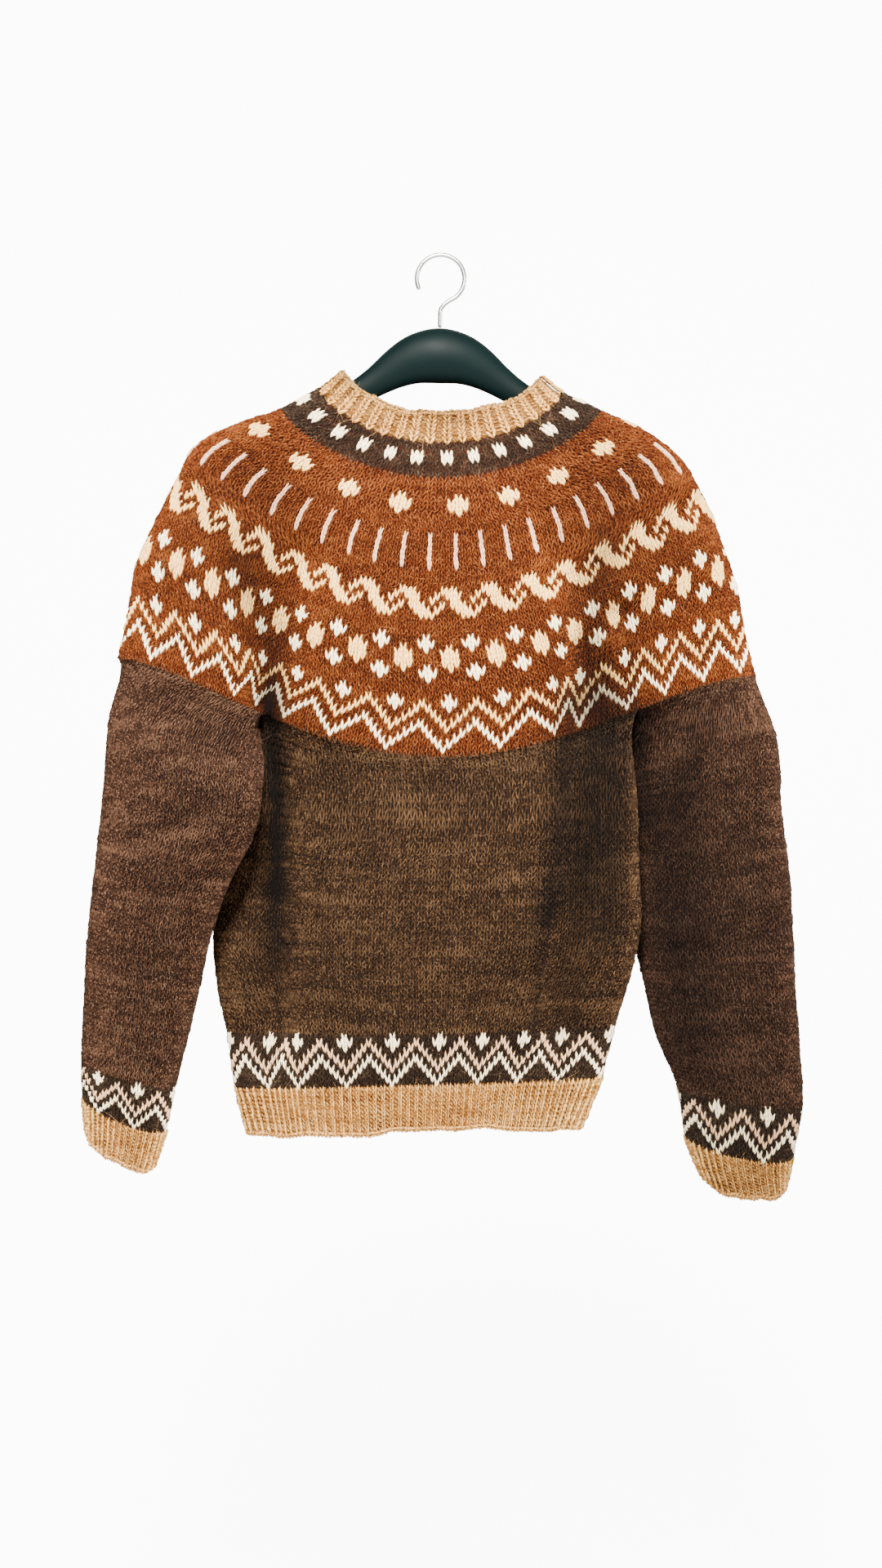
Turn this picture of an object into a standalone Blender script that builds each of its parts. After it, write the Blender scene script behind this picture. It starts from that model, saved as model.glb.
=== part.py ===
"""A hand-knitted wool pullover with a round yoke, hanging on a moulded hanger.

Metres, +Z up. +X is to the right of someone facing the pullover, and -Y is towards
them. The origin is the inner top of the hanger's hook, where it hangs on its rail.

The pullover is knitted in the round, so every piece is a tube of rows. A row of the
yoke runs round the whole trunk and both sleeves, and at its lowest row it divides at
four corners into the body and the two sleeves, which meet each other under the arms.
"""
import math

import bpy
import numpy as np
from mathutils import Matrix, Vector

WALL = 0.003              # thickness of the knitted cloth
SEAM = 0.0006             # gap left between two pieces where they are knitted together
CORNER_SEAM = 0.0016      # how far the body and sleeves stay below a corner of the yoke

# How many facets each stretch of a row has.
FRONT_FACETS = 20
SLEEVE_FACETS = 18
BACK_FACETS = 18
UNDERARM_FACETS = 4

# Shares of one row, counted from the centre front towards +X.
YOKE_CORNERS = np.array([0.125, 0.375, 0.625, 0.875])
BODY_CORNERS = np.array([0.21875, 0.28125, 0.71875, 0.78125])
UNDERARM_SHARE = 0.125    # of a sleeve's top row
SETTLE_ROWS = 32          # above these the yoke's stitches are spread evenly
BODY_JOIN_ROWS = 18       # below the yoke, the body takes these rows to reach its own form
SLEEVE_JOIN_ROWS = 10     # and a sleeve these
UNDERARM_ROWS = 7         # a tube keeps to its own side of the underarm for these rows
UNDERARM_GAP = 0.0002     # a row's distance from it
CURVE_STEPS = 720


def table(names, *rows):
    """Named columns from rows of numbers."""
    return dict(zip(names.split(), np.array(rows, float).T))


# The yoke and the neckband above it. left_ and right_ are the shoulder outlines, _y how
# far they lie behind the middle, front_ and back_ the centre lines, _out their distance
# from the middle, and arch how late a row drops from the shoulder to the centre.
YOKE = table(
    "row left_x  left_z  left_y  right_x right_z right_y front_z front_out back_z back_out arch",
    (0, -0.281, -0.355, -0.026, 0.279, -0.369, 0.016, -0.441, 0.057, -0.441, 0.057, 1.70),
    (8, -0.273, -0.315, -0.020, 0.269, -0.331, 0.012, -0.406, 0.059, -0.405, 0.058, 1.60),
    (16, -0.268, -0.276, -0.013, 0.262, -0.292, 0.008, -0.372, 0.060, -0.370, 0.059, 1.50),
    (24, -0.253, -0.238, -0.007, 0.248, -0.253, 0.004, -0.338, 0.060, -0.335, 0.059, 1.35),
    (32, -0.235, -0.202, -0.003, 0.233, -0.215, 0.002, -0.305, 0.058, -0.299, 0.058, 1.20),
    (40, -0.217, -0.168, 0.000, 0.212, -0.179, 0.000, -0.271, 0.056, -0.264, 0.057, 1.15),
    (48, -0.183, -0.148, 0.000, 0.181, -0.154, 0.000, -0.237, 0.052, -0.229, 0.055, 1.00),
    (56, -0.145, -0.135, 0.000, 0.145, -0.137, 0.000, -0.203, 0.045, -0.194, 0.051, 0.80),
    (60, -0.127, -0.126, 0.000, 0.127, -0.128, 0.000, -0.186, 0.040, -0.177, 0.048, 0.72),
    (64, -0.107, -0.115, 0.000, 0.107, -0.119, 0.000, -0.168, 0.036, -0.160, 0.044, 0.68),
    (71, -0.087, -0.101, 0.000, 0.089, -0.105, 0.000, -0.142, 0.032, -0.134, 0.040, 0.70),
)
YOKE_ROWS = (0, 4, 8, 13, 18, 24, 30, 36, 42, 48, 55, 60, 64)
NECKBAND_ROWS = (64, 67, 71)
DIVIDE_AT = np.array([0.62, 0.56, 0.62, 0.55])    # corners, as shares of the half width

# The body below the yoke, and the hem below that. lift is how much higher the row's
# ends are than its middle, slope how much higher its right end is than its middle, and
# left_y and right_y how far its ends lie behind the middle.
BODY = table(
    "row middle_x z     half_x half_y lift  slope  left_y right_y",
    (0, 0.002, -0.441, 0.161, 0.056, 0.034, 0.000, 0.012, -0.008),
    (10, -0.004, -0.485, 0.175, 0.055, 0.020, 0.000, 0.020, -0.012),
    (22, -0.011, -0.538, 0.184, 0.054, 0.010, 0.000, 0.021, -0.013),
    (36, -0.014, -0.600, 0.188, 0.053, 0.003, 0.001, 0.016, -0.010),
    (47, -0.017, -0.646, 0.180, 0.052, 0.000, 0.002, 0.010, -0.006),
    (55, -0.018, -0.680, 0.171, 0.051, 0.000, 0.003, 0.006, -0.004),
    (65, -0.020, -0.724, 0.162, 0.049, -0.002, 0.005, 0.004, -0.002),
    (76, -0.021, -0.764, 0.155, 0.046, -0.003, 0.006, 0.003, 0.000),
)
BODY_ROWS = (0, 3, 8, 16, 26, 36, 46, 55, 65)
HEM_ROWS = (65, 70, 76)

# The sleeves. turn brings a row's +X end forward and tilt lets it down, in degrees, and
# dip is how far its front hangs below its middle.
SLEEVE_LEFT = table(
    "row x      y      z       half_x half_y tilt turn dip",
    (0, -0.217, -0.030, -0.384, 0.068, 0.035, 21, 16, 0),
    (12, -0.221, -0.046, -0.435, 0.076, 0.037, 19, 22, 0),
    (26, -0.228, -0.046, -0.494, 0.071, 0.038, 15, 20, 0),
    (34, -0.238, -0.043, -0.527, 0.063, 0.038, 13, 18, 0),
    (48, -0.252, -0.036, -0.585, 0.055, 0.037, 11, 15, 0),
    (58, -0.259, -0.029, -0.626, 0.052, 0.035, 11, 12, 0.001),
    (68, -0.265, -0.024, -0.667, 0.048, 0.033, 12, 10, 0.002),
    (80, -0.273, -0.019, -0.716, 0.043, 0.030, 16, 8, 0.003),
    (90, -0.277, -0.016, -0.752, 0.039, 0.027, 22, 5, 0.005),
    (101, -0.281, -0.014, -0.785, 0.033, 0.023, 26, 5, 0.007),
)
SLEEVE_RIGHT = table(
    "row x      y      z       half_x half_y tilt turn dip",
    (0, 0.227, 0.018, -0.388, 0.055, 0.036, -20, 14, 0),
    (12, 0.231, 0.026, -0.443, 0.071, 0.038, -13, 20, 0),
    (26, 0.235, 0.028, -0.506, 0.071, 0.039, -11, 20, 0),
    (36, 0.239, 0.026, -0.550, 0.072, 0.039, -8, 18, 0),
    (46, 0.242, 0.023, -0.595, 0.071, 0.039, -5, 15, 0.001),
    (56, 0.247, 0.019, -0.638, 0.067, 0.037, -2, 12, 0.001),
    (68, 0.254, 0.013, -0.690, 0.063, 0.034, 2, 9, 0.002),
    (80, 0.264, 0.006, -0.740, 0.055, 0.031, 8, 6, 0.004),
    (90, 0.263, 0.003, -0.783, 0.048, 0.028, 11, 5, 0.008),
    (101, 0.270, 0.000, -0.812, 0.040, 0.024, 5, 5, 0.014),
)
SLEEVE_ROWS = (0, 4, 9, 15, 23, 32, 41, 50, 60, 70, 80, 90)
CUFF_ROWS = (90, 95, 101)

# The largest folds of the trunk: which face they are on (-1 front, 1 back), their
# half width, how deep they go in, and the X and Z of the points they run through.
FOLDS = (
    (-1, 0.020, 0.015, ((-0.124, -0.27), (-0.150, -0.41), (-0.142, -0.55), (-0.140, -0.67))),
    (-1, 0.012, 0.009, ((-0.153, -0.38), (-0.146, -0.55), (-0.140, -0.69))),
    (-1, 0.015, 0.015, ((0.160, -0.32), (0.170, -0.41), (0.168, -0.43))),
    (-1, 0.017, 0.009, ((0.096, -0.26), (0.124, -0.35), (0.136, -0.42))),
    (-1, 0.026, 0.014, ((0.146, -0.38), (0.144, -0.46), (0.128, -0.57), (0.110, -0.68))),
    (1, 0.018, 0.009, ((-0.140, -0.31), (-0.158, -0.40), (-0.150, -0.47))),
    (1, 0.018, 0.012, ((0.130, -0.30), (0.142, -0.41), (0.138, -0.50))),
    (1, 0.022, 0.010, ((-0.060, -0.46), (-0.085, -0.58), (-0.080, -0.68))),
)
FOLD_FACE = 0.02          # a fold is at full depth this far from the middle

# The hanger, in its own upright frame: its centre line and half height at each distance
# from the middle. It hangs a little askew on its hook.
HANGER = table(
    "x    z        half_height",
    (0.000, -0.0862, 0.0246),
    (0.020, -0.0895, 0.0222),
    (0.036, -0.0972, 0.0180),
    (0.054, -0.1095, 0.0132),
    (0.070, -0.1200, 0.0115),
    (0.090, -0.1322, 0.0112),
    (0.112, -0.1424, 0.0110),
    (0.145, -0.1541, 0.0108),
    (0.178, -0.1662, 0.0100),
    (0.196, -0.1758, 0.0084),
    (0.204, -0.1808, 0.0056),
)
HANGER_LEAN = math.radians(0.9)
HANGER_THICKNESS = 0.55   # of its height
HOOK_WIRE = 0.002         # radius
HOOK_RADIUS = 0.021       # of the wire's centre line
HOOK_TURNS = (-52, 205)   # from the stem round to the tip, in degrees from +X

MATERIALS = {
    # name: colour, roughness, metallic
    "rust wool": ((0.35, 0.08, 0.014), 0.9, 0.0),
    "brown wool": ((0.09, 0.053, 0.031), 0.9, 0.0),
    "camel wool": ((0.72, 0.42, 0.18), 0.9, 0.0),
    "moulded plastic": ((0.010, 0.026, 0.024), 0.4, 0.0),
    "steel wire": ((0.62, 0.62, 0.60), 0.25, 1.0),
}


def smooth(value):
    """0 below 0, 1 above 1, and a soft step between."""
    share = np.clip(value, 0, 1)
    return share * share * (3 - 2 * share)


def at(columns, row):
    """Every column of a table at one row, on a smooth curve through the table."""
    knots = columns["row"]
    first = int(np.clip(np.searchsorted(knots, row) - 1, 0, len(knots) - 2))
    span = knots[first + 1] - knots[first]
    f = (row - knots[first]) / span
    weights = (2 * f**3 - 3 * f**2 + 1, f**3 - 2 * f**2 + f, 3 * f**2 - 2 * f**3, f**3 - f**2)
    found = {}
    for name, values in columns.items():
        slopes = np.gradient(values, knots) * span
        ends = (values[first], slopes[first], values[first + 1], slopes[first + 1])
        found[name] = float(np.dot(weights, ends))
    return found


def distance_to_path(x, z, path):
    """How far each point is from a path of straight stretches, seen from the front."""
    nearest = np.full(np.shape(x), np.inf)
    for (x1, z1), (x2, z2) in zip(path, path[1:]):
        along = ((x - x1) * (x2 - x1) + (z - z1) * (z2 - z1)) / ((x2 - x1) ** 2 + (z2 - z1) ** 2)
        along = np.clip(along, 0, 1)
        nearest = np.minimum(nearest, np.hypot(x - x1 - along * (x2 - x1), z - z1 - along * (z2 - z1)))
    return nearest


def folded(points, share=1.0):
    """The points with the trunk's folds pressed in, or a share of them."""
    x, y, z = points[..., 0], points[..., 1], points[..., 2]
    shift = np.zeros(x.shape)
    for face, width, depth, path in FOLDS:
        fall = np.exp(-(distance_to_path(x, z, path) / width) ** 2)
        shift -= face * depth * fall * smooth(face * y / FOLD_FACE)
    moved = points.copy()
    moved[..., 1] += share * shift
    return moved


def arc_shares(curve):
    """How far round each point of a curve is, from 0 to 1."""
    steps = np.linalg.norm(np.diff(curve, axis=0), axis=1)
    return np.concatenate([[0], np.cumsum(steps)]) / steps.sum()


def pick(curve, shares_of_curve, shares):
    """Points of a curve at the given shares of its length."""
    return np.stack([np.interp(shares, shares_of_curve, curve[:, k]) for k in range(3)], axis=-1)


TURNS = np.linspace(0, 2 * math.pi, CURVE_STEPS + 1)


def yoke_curve(row):
    """One row of the yoke, before its folds, from the centre front round to it again."""
    size = at(YOKE, row)
    across, ahead = np.sin(TURNS), np.cos(TURNS)
    half = (size["right_x"] - size["left_x"]) / 2
    out = (size["front_out"] + size["back_out"]) / 2 + (size["front_out"] - size["back_out"]) / 2 * ahead
    side_z = size["left_z"] + (size["right_z"] - size["left_z"]) * (1 + across) / 2
    centre_z = np.where(ahead > 0, size["front_z"], size["back_z"])
    x = size["left_x"] + half * (1 + across)
    y = size["left_y"] * smooth((-across - 0.5) / 0.3) + size["right_y"] * smooth((across - 0.5) / 0.3)
    z = side_z + (centre_z - side_z) * np.abs(ahead) ** (2 * size["arch"])
    return np.stack([x, y - ahead * out, z], axis=1)


def corner_shares():
    """Where the lowest row of the yoke divides into the body and the sleeves."""
    front_right, back_right, back_left, front_left = np.arcsin(DIVIDE_AT)
    turns = (front_right, math.pi - back_right, math.pi + back_left, 2 * math.pi - front_left)
    return np.interp(turns, TURNS, arc_shares(folded(yoke_curve(0))))


DIVIDE_SHARES = corner_shares()


def yoke_row(row, shares):
    """Points of a row of the yoke, before its folds, at shares of its stitches."""
    corners = DIVIDE_SHARES + (YOKE_CORNERS - DIVIDE_SHARES) * smooth(row / SETTLE_ROWS)
    stitches = np.concatenate([[YOKE_CORNERS[-1] - 1], YOKE_CORNERS, [YOKE_CORNERS[0] + 1]])
    lengths = np.concatenate([[corners[-1] - 1], corners, [corners[0] + 1]])
    curve = yoke_curve(row)
    return pick(curve, arc_shares(folded(curve)), np.interp(shares % 1, stitches, lengths) % 1)


def body_top(shares):
    """The body's first row: the yoke's front and back, and the two underarms."""
    front_right, back_right, back_left, front_left = yoke_row(0, YOKE_CORNERS)
    corners = BODY_CORNERS
    round_yoke = np.interp(
        shares, [0, corners[0], corners[1], corners[2], corners[3], 1],
        [0, YOKE_CORNERS[0], YOKE_CORNERS[1], YOKE_CORNERS[2], YOKE_CORNERS[3], 1])
    points = yoke_row(0, round_yoke)
    for start, end, first, last in ((0, 1, front_right, back_right), (2, 3, back_left, front_left)):
        under = (shares >= corners[start]) & (shares <= corners[end])
        along = (shares[under] - corners[start]) / (corners[end] - corners[start])
        points[under] = first + along[:, None] * (last - first)
    return points


def kept_apart(points, row, corners, side):
    """The points of a tube held on its side of an underarm: -1 the body's, 1 the sleeve's."""
    first, last = folded(corners)
    to_sleeve = np.array([last[1] - first[1], first[0] - last[0], 0])
    to_sleeve *= side / np.linalg.norm(to_sleeve)
    short = UNDERARM_GAP * row - (points - first) @ to_sleeve
    hold = 1 - smooth(row / UNDERARM_ROWS - 1)
    return points + hold * np.maximum(0, short)[:, None] * to_sleeve


def body_row(row, shares):
    """Points of a row of the body or the hem, at shares of its stitches."""
    size = at(BODY, row)
    across, ahead = np.sin(TURNS), np.cos(TURNS)
    ends = size["left_y"] * smooth(-across) + size["right_y"] * smooth(across)
    z = size["z"] + size["lift"] * across ** 2 + size["slope"] * across
    x = size["middle_x"] + size["half_x"] * across
    section = np.stack([x, ends - size["half_y"] * ahead, z], axis=1)
    own = pick(section, arc_shares(folded(section)), shares)
    reached = smooth(row / BODY_JOIN_ROWS)
    points = folded(body_top(shares) * (1 - reached) + own * reached)
    corners = yoke_row(0, YOKE_CORNERS)
    for first in (0, 2):
        points = kept_apart(points, row, corners[[first, first + 1]], -1)
    return points


def sleeve_row(sizes, side, row, shares):
    """Points of a row of a sleeve or cuff, from the middle of the underarm."""
    size = at(sizes, row)
    turn, tilt = math.radians(size["turn"]), math.radians(size["tilt"])
    along = np.array([math.cos(turn) * math.cos(tilt), -math.sin(turn) * math.cos(tilt), -math.sin(tilt)])
    through = np.array([math.sin(turn), math.cos(turn), 0])
    start = math.pi if side > 0 else 0
    angles = TURNS + start
    section = (np.array([size["x"], size["y"], size["z"]])
               + size["half_x"] * np.cos(angles)[:, None] * along
               + size["half_y"] * np.sin(angles)[:, None] * through)
    section[:, 2] += size["dip"] * np.minimum(np.sin(angles), 0)
    own = pick(section, arc_shares(section), shares)

    first, last = (0, 1) if side > 0 else (2, 3)
    half = UNDERARM_SHARE / 2
    round_yoke = np.interp(shares, [half, 1 - half], YOKE_CORNERS[[first, last]])
    top = yoke_row(0, round_yoke)
    corner_in, corner_out = yoke_row(0, YOKE_CORNERS[[first, last]])
    past = np.where(shares < 0.5, shares, shares - 1)
    under = np.abs(past) <= half
    share = (half - past[under]) / (2 * half)
    top[under] = corner_in + share[:, None] * (corner_out - corner_in)
    reached = smooth(row / SLEEVE_JOIN_ROWS)
    points = folded(top * (1 - reached) + own * reached, 1 - smooth(row / BODY_JOIN_ROWS))
    return kept_apart(points, row, yoke_row(0, YOKE_CORNERS[[first, last]]), 1)


def facet_shares(stretches):
    """Shares of a row at its facets' edges, from (first share, last share, facets)."""
    return np.concatenate([np.linspace(first, last, facets + 1)[:-1] for first, last, facets in stretches])


def yoke_facets():
    right, back, left, front = YOKE_CORNERS
    stretches = ((right, back, SLEEVE_FACETS), (back, left, BACK_FACETS),
                 (left, front, SLEEVE_FACETS), (front, right + 1, FRONT_FACETS))
    return facet_shares(stretches) % 1


def body_facets():
    right, back, left, front = BODY_CORNERS
    stretches = ((right, back, UNDERARM_FACETS), (back, left, BACK_FACETS),
                 (left, front, UNDERARM_FACETS), (front, right + 1, FRONT_FACETS))
    return facet_shares(stretches) % 1


def sleeve_facets():
    half = UNDERARM_SHARE / 2
    return facet_shares(((half, 1 - half, SLEEVE_FACETS), (1 - half, 1 + half, UNDERARM_FACETS))) % 1


def knitted_pieces():
    """Each knitted piece as a grid of points: its rows, from the first knitted seam on."""
    yoke, body, sleeve = yoke_facets(), body_facets(), sleeve_facets()
    grids = {
        "yoke": np.array([folded(yoke_row(row, yoke)) for row in YOKE_ROWS]),
        "neckband": np.array([folded(yoke_row(row, yoke)) for row in NECKBAND_ROWS]),
        "body": np.array([body_row(row, body) for row in BODY_ROWS]),
        "hem_rib": np.array([body_row(row, body) for row in HEM_ROWS]),
    }
    for name, sizes, side in (("left", SLEEVE_LEFT, -1), ("right", SLEEVE_RIGHT, 1)):
        grids["sleeve_" + name] = np.array([sleeve_row(sizes, side, row, sleeve) for row in SLEEVE_ROWS])
        grids["cuff_" + name] = np.array([sleeve_row(sizes, side, row, sleeve) for row in CUFF_ROWS])
    return grids


def underarm_columns(name):
    """Facet edges of a piece that lie between two corners, under an arm."""
    if name == "body":
        second = UNDERARM_FACETS + BACK_FACETS
        return [list(range(UNDERARM_FACETS + 1)), list(range(second, second + UNDERARM_FACETS + 1))]
    if name.startswith("sleeve"):
        return [[*range(SLEEVE_FACETS, SLEEVE_FACETS + UNDERARM_FACETS), 0]]
    return []


def wall_normals(grids):
    """Outward directions at every point, shared by the pieces that meet there."""
    keys, sums = {}, {}
    for name, grid in grids.items():
        inside = {column for columns in underarm_columns(name) for column in columns[1:-1]}
        up = -1 if name in ("yoke", "neckband") else 1
        rows, around = grid.shape[:2]
        own = {}
        for r in range(rows):
            for i in range(around):
                place = tuple(np.round(grid[r, i], 6) + 0.0)
                own[r, i] = (place, name) if r == 0 and i in inside else place
        for r in range(rows - 1):
            for i in range(around):
                j = (i + 1) % around
                first = grid[r + 1, i] - grid[r, j]
                second = grid[r + 1, j] - grid[r, i]
                normal = np.cross(first, second) * up
                for corner in ((r, i), (r, j), (r + 1, i), (r + 1, j)):
                    sums[own[corner]] = sums.get(own[corner], np.zeros(3)) + normal
        keys[name] = own
    normals = {}
    for name, grid in grids.items():
        found = np.array([[sums[keys[name][r, i]] for i in range(grid.shape[1])]
                          for r in range(grid.shape[0])])
        normals[name] = found / np.linalg.norm(found, axis=2, keepdims=True)
    return normals


def part_underarms(name, grid):
    """The grid with its underarm edges moved back from the piece they are joined to."""
    moved = grid.copy()
    for columns in underarm_columns(name):
        line = grid[0, columns[-1]] - grid[0, columns[0]]
        away = np.array([line[1], -line[0], 0]) / math.hypot(line[0], line[1])
        middle = grid[4].mean(axis=0) - grid[0, columns[0]]
        if np.dot(away[:2], middle[:2]) < 0:
            away = -away
        moved[0, columns] += away * SEAM / 2
    return moved


def trimmed(name, surface):
    """A grid with its first and last rows drawn in by half a seam's gap, and more at a corner."""
    result = surface.copy()
    draw = np.full((surface.shape[1], 1), SEAM / 2)
    for columns in underarm_columns(name):
        draw[[columns[0], columns[-1]]] = CORNER_SEAM
    for edge, inner in ((0, 1), (-1, -2)):
        step = surface[inner] - surface[edge]
        result[edge] += step / np.linalg.norm(step, axis=1, keepdims=True) * draw
    return result


def add_wall(name, grid, normals):
    """A closed wall between a grid of points and the same grid moved inwards."""
    outer = trimmed(name, part_underarms(name, grid - normals * SEAM / 2))
    inner = trimmed(name, part_underarms(name, grid - normals * WALL))
    rows, around = grid.shape[:2]
    faces = []

    def index(layer, row, column):
        return (layer * rows + row) * around + column % around

    for i in range(around):
        for r in range(rows - 1):
            faces.append([index(0, r, i), index(0, r, i + 1), index(0, r + 1, i + 1), index(0, r + 1, i)])
            faces.append([index(1, r, i), index(1, r + 1, i), index(1, r + 1, i + 1), index(1, r, i + 1)])
        faces.append([index(0, 0, i + 1), index(0, 0, i), index(1, 0, i), index(1, 0, i + 1)])
        last = rows - 1
        faces.append([index(0, last, i), index(0, last, i + 1), index(1, last, i + 1), index(1, last, i)])
    if name not in ("yoke", "neckband"):
        faces = [face[::-1] for face in faces]
    mesh = bpy.data.meshes.new(name)
    mesh.from_pydata([tuple(p) for p in np.concatenate([outer.reshape(-1, 3), inner.reshape(-1, 3)])], [], faces)
    mesh.validate()
    mesh.shade_smooth()
    return add_object(name, mesh)


def add_object(name, data):
    made = bpy.data.objects.new(name, data)
    bpy.data.collections[COLLECTION].objects.link(made)
    return made


def add_path(name, points, radii, bevel):
    """A curve through points, with a radius at each, filled at its ends."""
    curve = bpy.data.curves.new(name, "CURVE")
    curve.dimensions = "3D"
    curve.use_fill_caps = True
    curve.bevel_resolution = 2
    if isinstance(bevel, bpy.types.Object):
        curve.bevel_mode = "OBJECT"
        curve.bevel_object = bevel
    else:
        curve.bevel_depth = bevel
    spline = curve.splines.new("POLY")
    spline.points.add(len(points) - 1)
    for point, place, radius in zip(spline.points, points, radii):
        point.co = (*place, 1)
        point.radius = radius
    made = add_object(name, curve)
    made.matrix_world = Matrix.Rotation(HANGER_LEAN, 4, "Y")
    return made


def hanger_section():
    """The moulded arms' oval cross-section, one unit in half height, as a guide."""
    guide = bpy.data.curves.new("hanger_section", "CURVE")
    guide.dimensions = "2D"
    spline = guide.splines.new("POLY")
    spline.use_cyclic_u = True
    sides = 14
    spline.points.add(sides - 1)
    for k, point in enumerate(spline.points):
        angle = -2 * math.pi * (k + 0.5) / sides
        point.co = (HANGER_THICKNESS * math.cos(angle), math.sin(angle), 0, 1)
    made = bpy.data.objects.new("hanger_section", guide)
    made.hide_render = True
    made.display_type = "WIRE"
    bpy.data.collections[GUIDES].objects.link(made)
    return made


def add_hanger():
    """The moulded arms and hub, tip to tip."""
    x, z, half = HANGER["x"], HANGER["z"], HANGER["half_height"]
    fine = np.linspace(0, x[-1], 16)
    line = [(d, float(np.interp(d, x, z)), float(np.interp(d, x, half))) for d in fine]
    path = [(-d, height, radius) for d, height, radius in line[:0:-1]] + line
    points = [(d, 0, height) for d, height, _ in path]
    return add_path("hanger", points, [radius for _, _, radius in path], hanger_section())


def add_hook():
    """The steel hook: its inner top is the origin, its stem stands on the hub."""
    centre = Vector((0, 0, HOOK_WIRE - HOOK_RADIUS))
    first, last = (math.radians(angle) for angle in HOOK_TURNS)
    angles = np.linspace(first, last, 22)
    loop = [centre + HOOK_RADIUS * Vector((math.cos(a), 0, math.sin(a))) for a in angles]
    hub_top = HANGER["z"][0] + HANGER["half_height"][0]
    stem_top = loop[0].z - loop[0].x
    stem = [(0, 0, z) for z in np.linspace(hub_top + SEAM, stem_top, 5)]
    bend = Vector((loop[0].x * 0.35, 0, (stem_top + loop[0].z) / 2 - 0.001))
    points = [*stem, tuple(bend), *(tuple(p) for p in loop)]
    return add_path("hanger_hook", points, [1] * len(points), HOOK_WIRE)


def add_material(made, name):
    colour, roughness, metallic = MATERIALS[name]
    material = bpy.data.materials.get(name) or bpy.data.materials.new(name)
    material.use_nodes = True
    shader = material.node_tree.nodes["Principled BSDF"]
    shader.inputs["Base Color"].default_value = (*colour, 1)
    shader.inputs["Roughness"].default_value = roughness
    shader.inputs["Metallic"].default_value = metallic
    made.data.materials.append(material)


COLLECTION = "wool_pullover_on_hanger"
GUIDES = "guides"
WOOLS = {
    "yoke": "rust wool", "neckband": "camel wool", "body": "brown wool", "hem_rib": "camel wool",
    "sleeve_left": "brown wool", "sleeve_right": "brown wool",
    "cuff_left": "camel wool", "cuff_right": "camel wool",
}


def main():
    for old in list(bpy.data.objects):
        bpy.data.objects.remove(old)
    for name in (COLLECTION, GUIDES):
        bpy.context.scene.collection.children.link(bpy.data.collections.new(name))
    grids = knitted_pieces()
    normals = wall_normals(grids)
    for name, grid in grids.items():
        add_material(add_wall(name, grid, normals[name]), WOOLS[name])
    add_material(add_hanger(), "moulded plastic")
    add_material(add_hook(), "steel wire")


main()
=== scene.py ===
import math
from functools import partial
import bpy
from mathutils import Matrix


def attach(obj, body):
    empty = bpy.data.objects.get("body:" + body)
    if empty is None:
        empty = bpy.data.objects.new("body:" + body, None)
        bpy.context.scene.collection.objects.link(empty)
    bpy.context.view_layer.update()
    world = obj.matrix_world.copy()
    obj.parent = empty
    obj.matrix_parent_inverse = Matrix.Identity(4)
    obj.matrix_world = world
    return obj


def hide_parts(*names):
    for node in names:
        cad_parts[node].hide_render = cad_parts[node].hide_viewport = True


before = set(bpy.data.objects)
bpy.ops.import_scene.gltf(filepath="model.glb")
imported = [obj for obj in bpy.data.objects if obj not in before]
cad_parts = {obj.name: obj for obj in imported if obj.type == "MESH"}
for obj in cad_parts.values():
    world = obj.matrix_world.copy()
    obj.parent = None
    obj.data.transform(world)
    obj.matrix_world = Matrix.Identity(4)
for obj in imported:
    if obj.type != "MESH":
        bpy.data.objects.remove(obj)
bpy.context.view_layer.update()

from types import SimpleNamespace

import bpy
import numpy as np
from mathutils import Matrix, Vector

# The looks of a hand-knitted wool pullover with a round yoke, on its hanger.
#
# Metres, +Z up, +X to the right of someone facing the pullover, -Y towards them. Every
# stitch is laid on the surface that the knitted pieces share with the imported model: a row
# number and a share of the row's stitches, from the centre front towards +X, give a place.

# The yoke, from its lowest row up to the neckband, and the neckband's 7 rows above it.
YOKE_TOP, NECK_TOP = 64, 71
BODY_LOW, HEM_LOW = 65, 76
SLEEVE_LOW, CUFF_LOW = 90, 101
YOKE_CORNERS = np.array([0.125, 0.375, 0.625, 0.875])
BODY_CORNERS = np.array([0.21875, 0.28125, 0.71875, 0.78125])
UNDERARM_SHARE = 0.125    # of a sleeve's top row
SETTLE_ROWS = 32          # above these the yoke's stitches are spread evenly
BODY_JOIN_ROWS = 18       # below the yoke, the body takes these rows to reach its own form
SLEEVE_JOIN_ROWS = 10     # and a sleeve these
UNDERARM_ROWS = 7         # a tube keeps to its own side of the underarm for these rows
UNDERARM_GAP = 0.0002     # a row's distance from it
CURVE_STEPS = 720
AROUND = 480              # places kept round each row
SHARES = np.arange(AROUND) / AROUND
PLAIN_COLUMNS = {"row", "arch", "tilt", "turn"}    # rows, a power and degrees


def table(text):
    """Named columns from a table written in millimetres, apart from its plain columns."""
    names, *rows = [line.split() for line in text.strip().splitlines()]
    columns = zip(names, np.array(rows, float).T)
    return {name: own if name in PLAIN_COLUMNS else own / 1000 for name, own in columns}


def listed(text):
    """Rows of plain numbers, then points in thousandths, gathered by their first word."""
    found = {}
    for line in text.strip().splitlines():
        name, *words = line.split()
        plain = [float(word) for word in words if "," not in word]
        points = [tuple(float(v) / 1000 for v in word.split(",")) for word in words if "," in word]
        found.setdefault(name, []).append((*plain, points))
    return found


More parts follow.
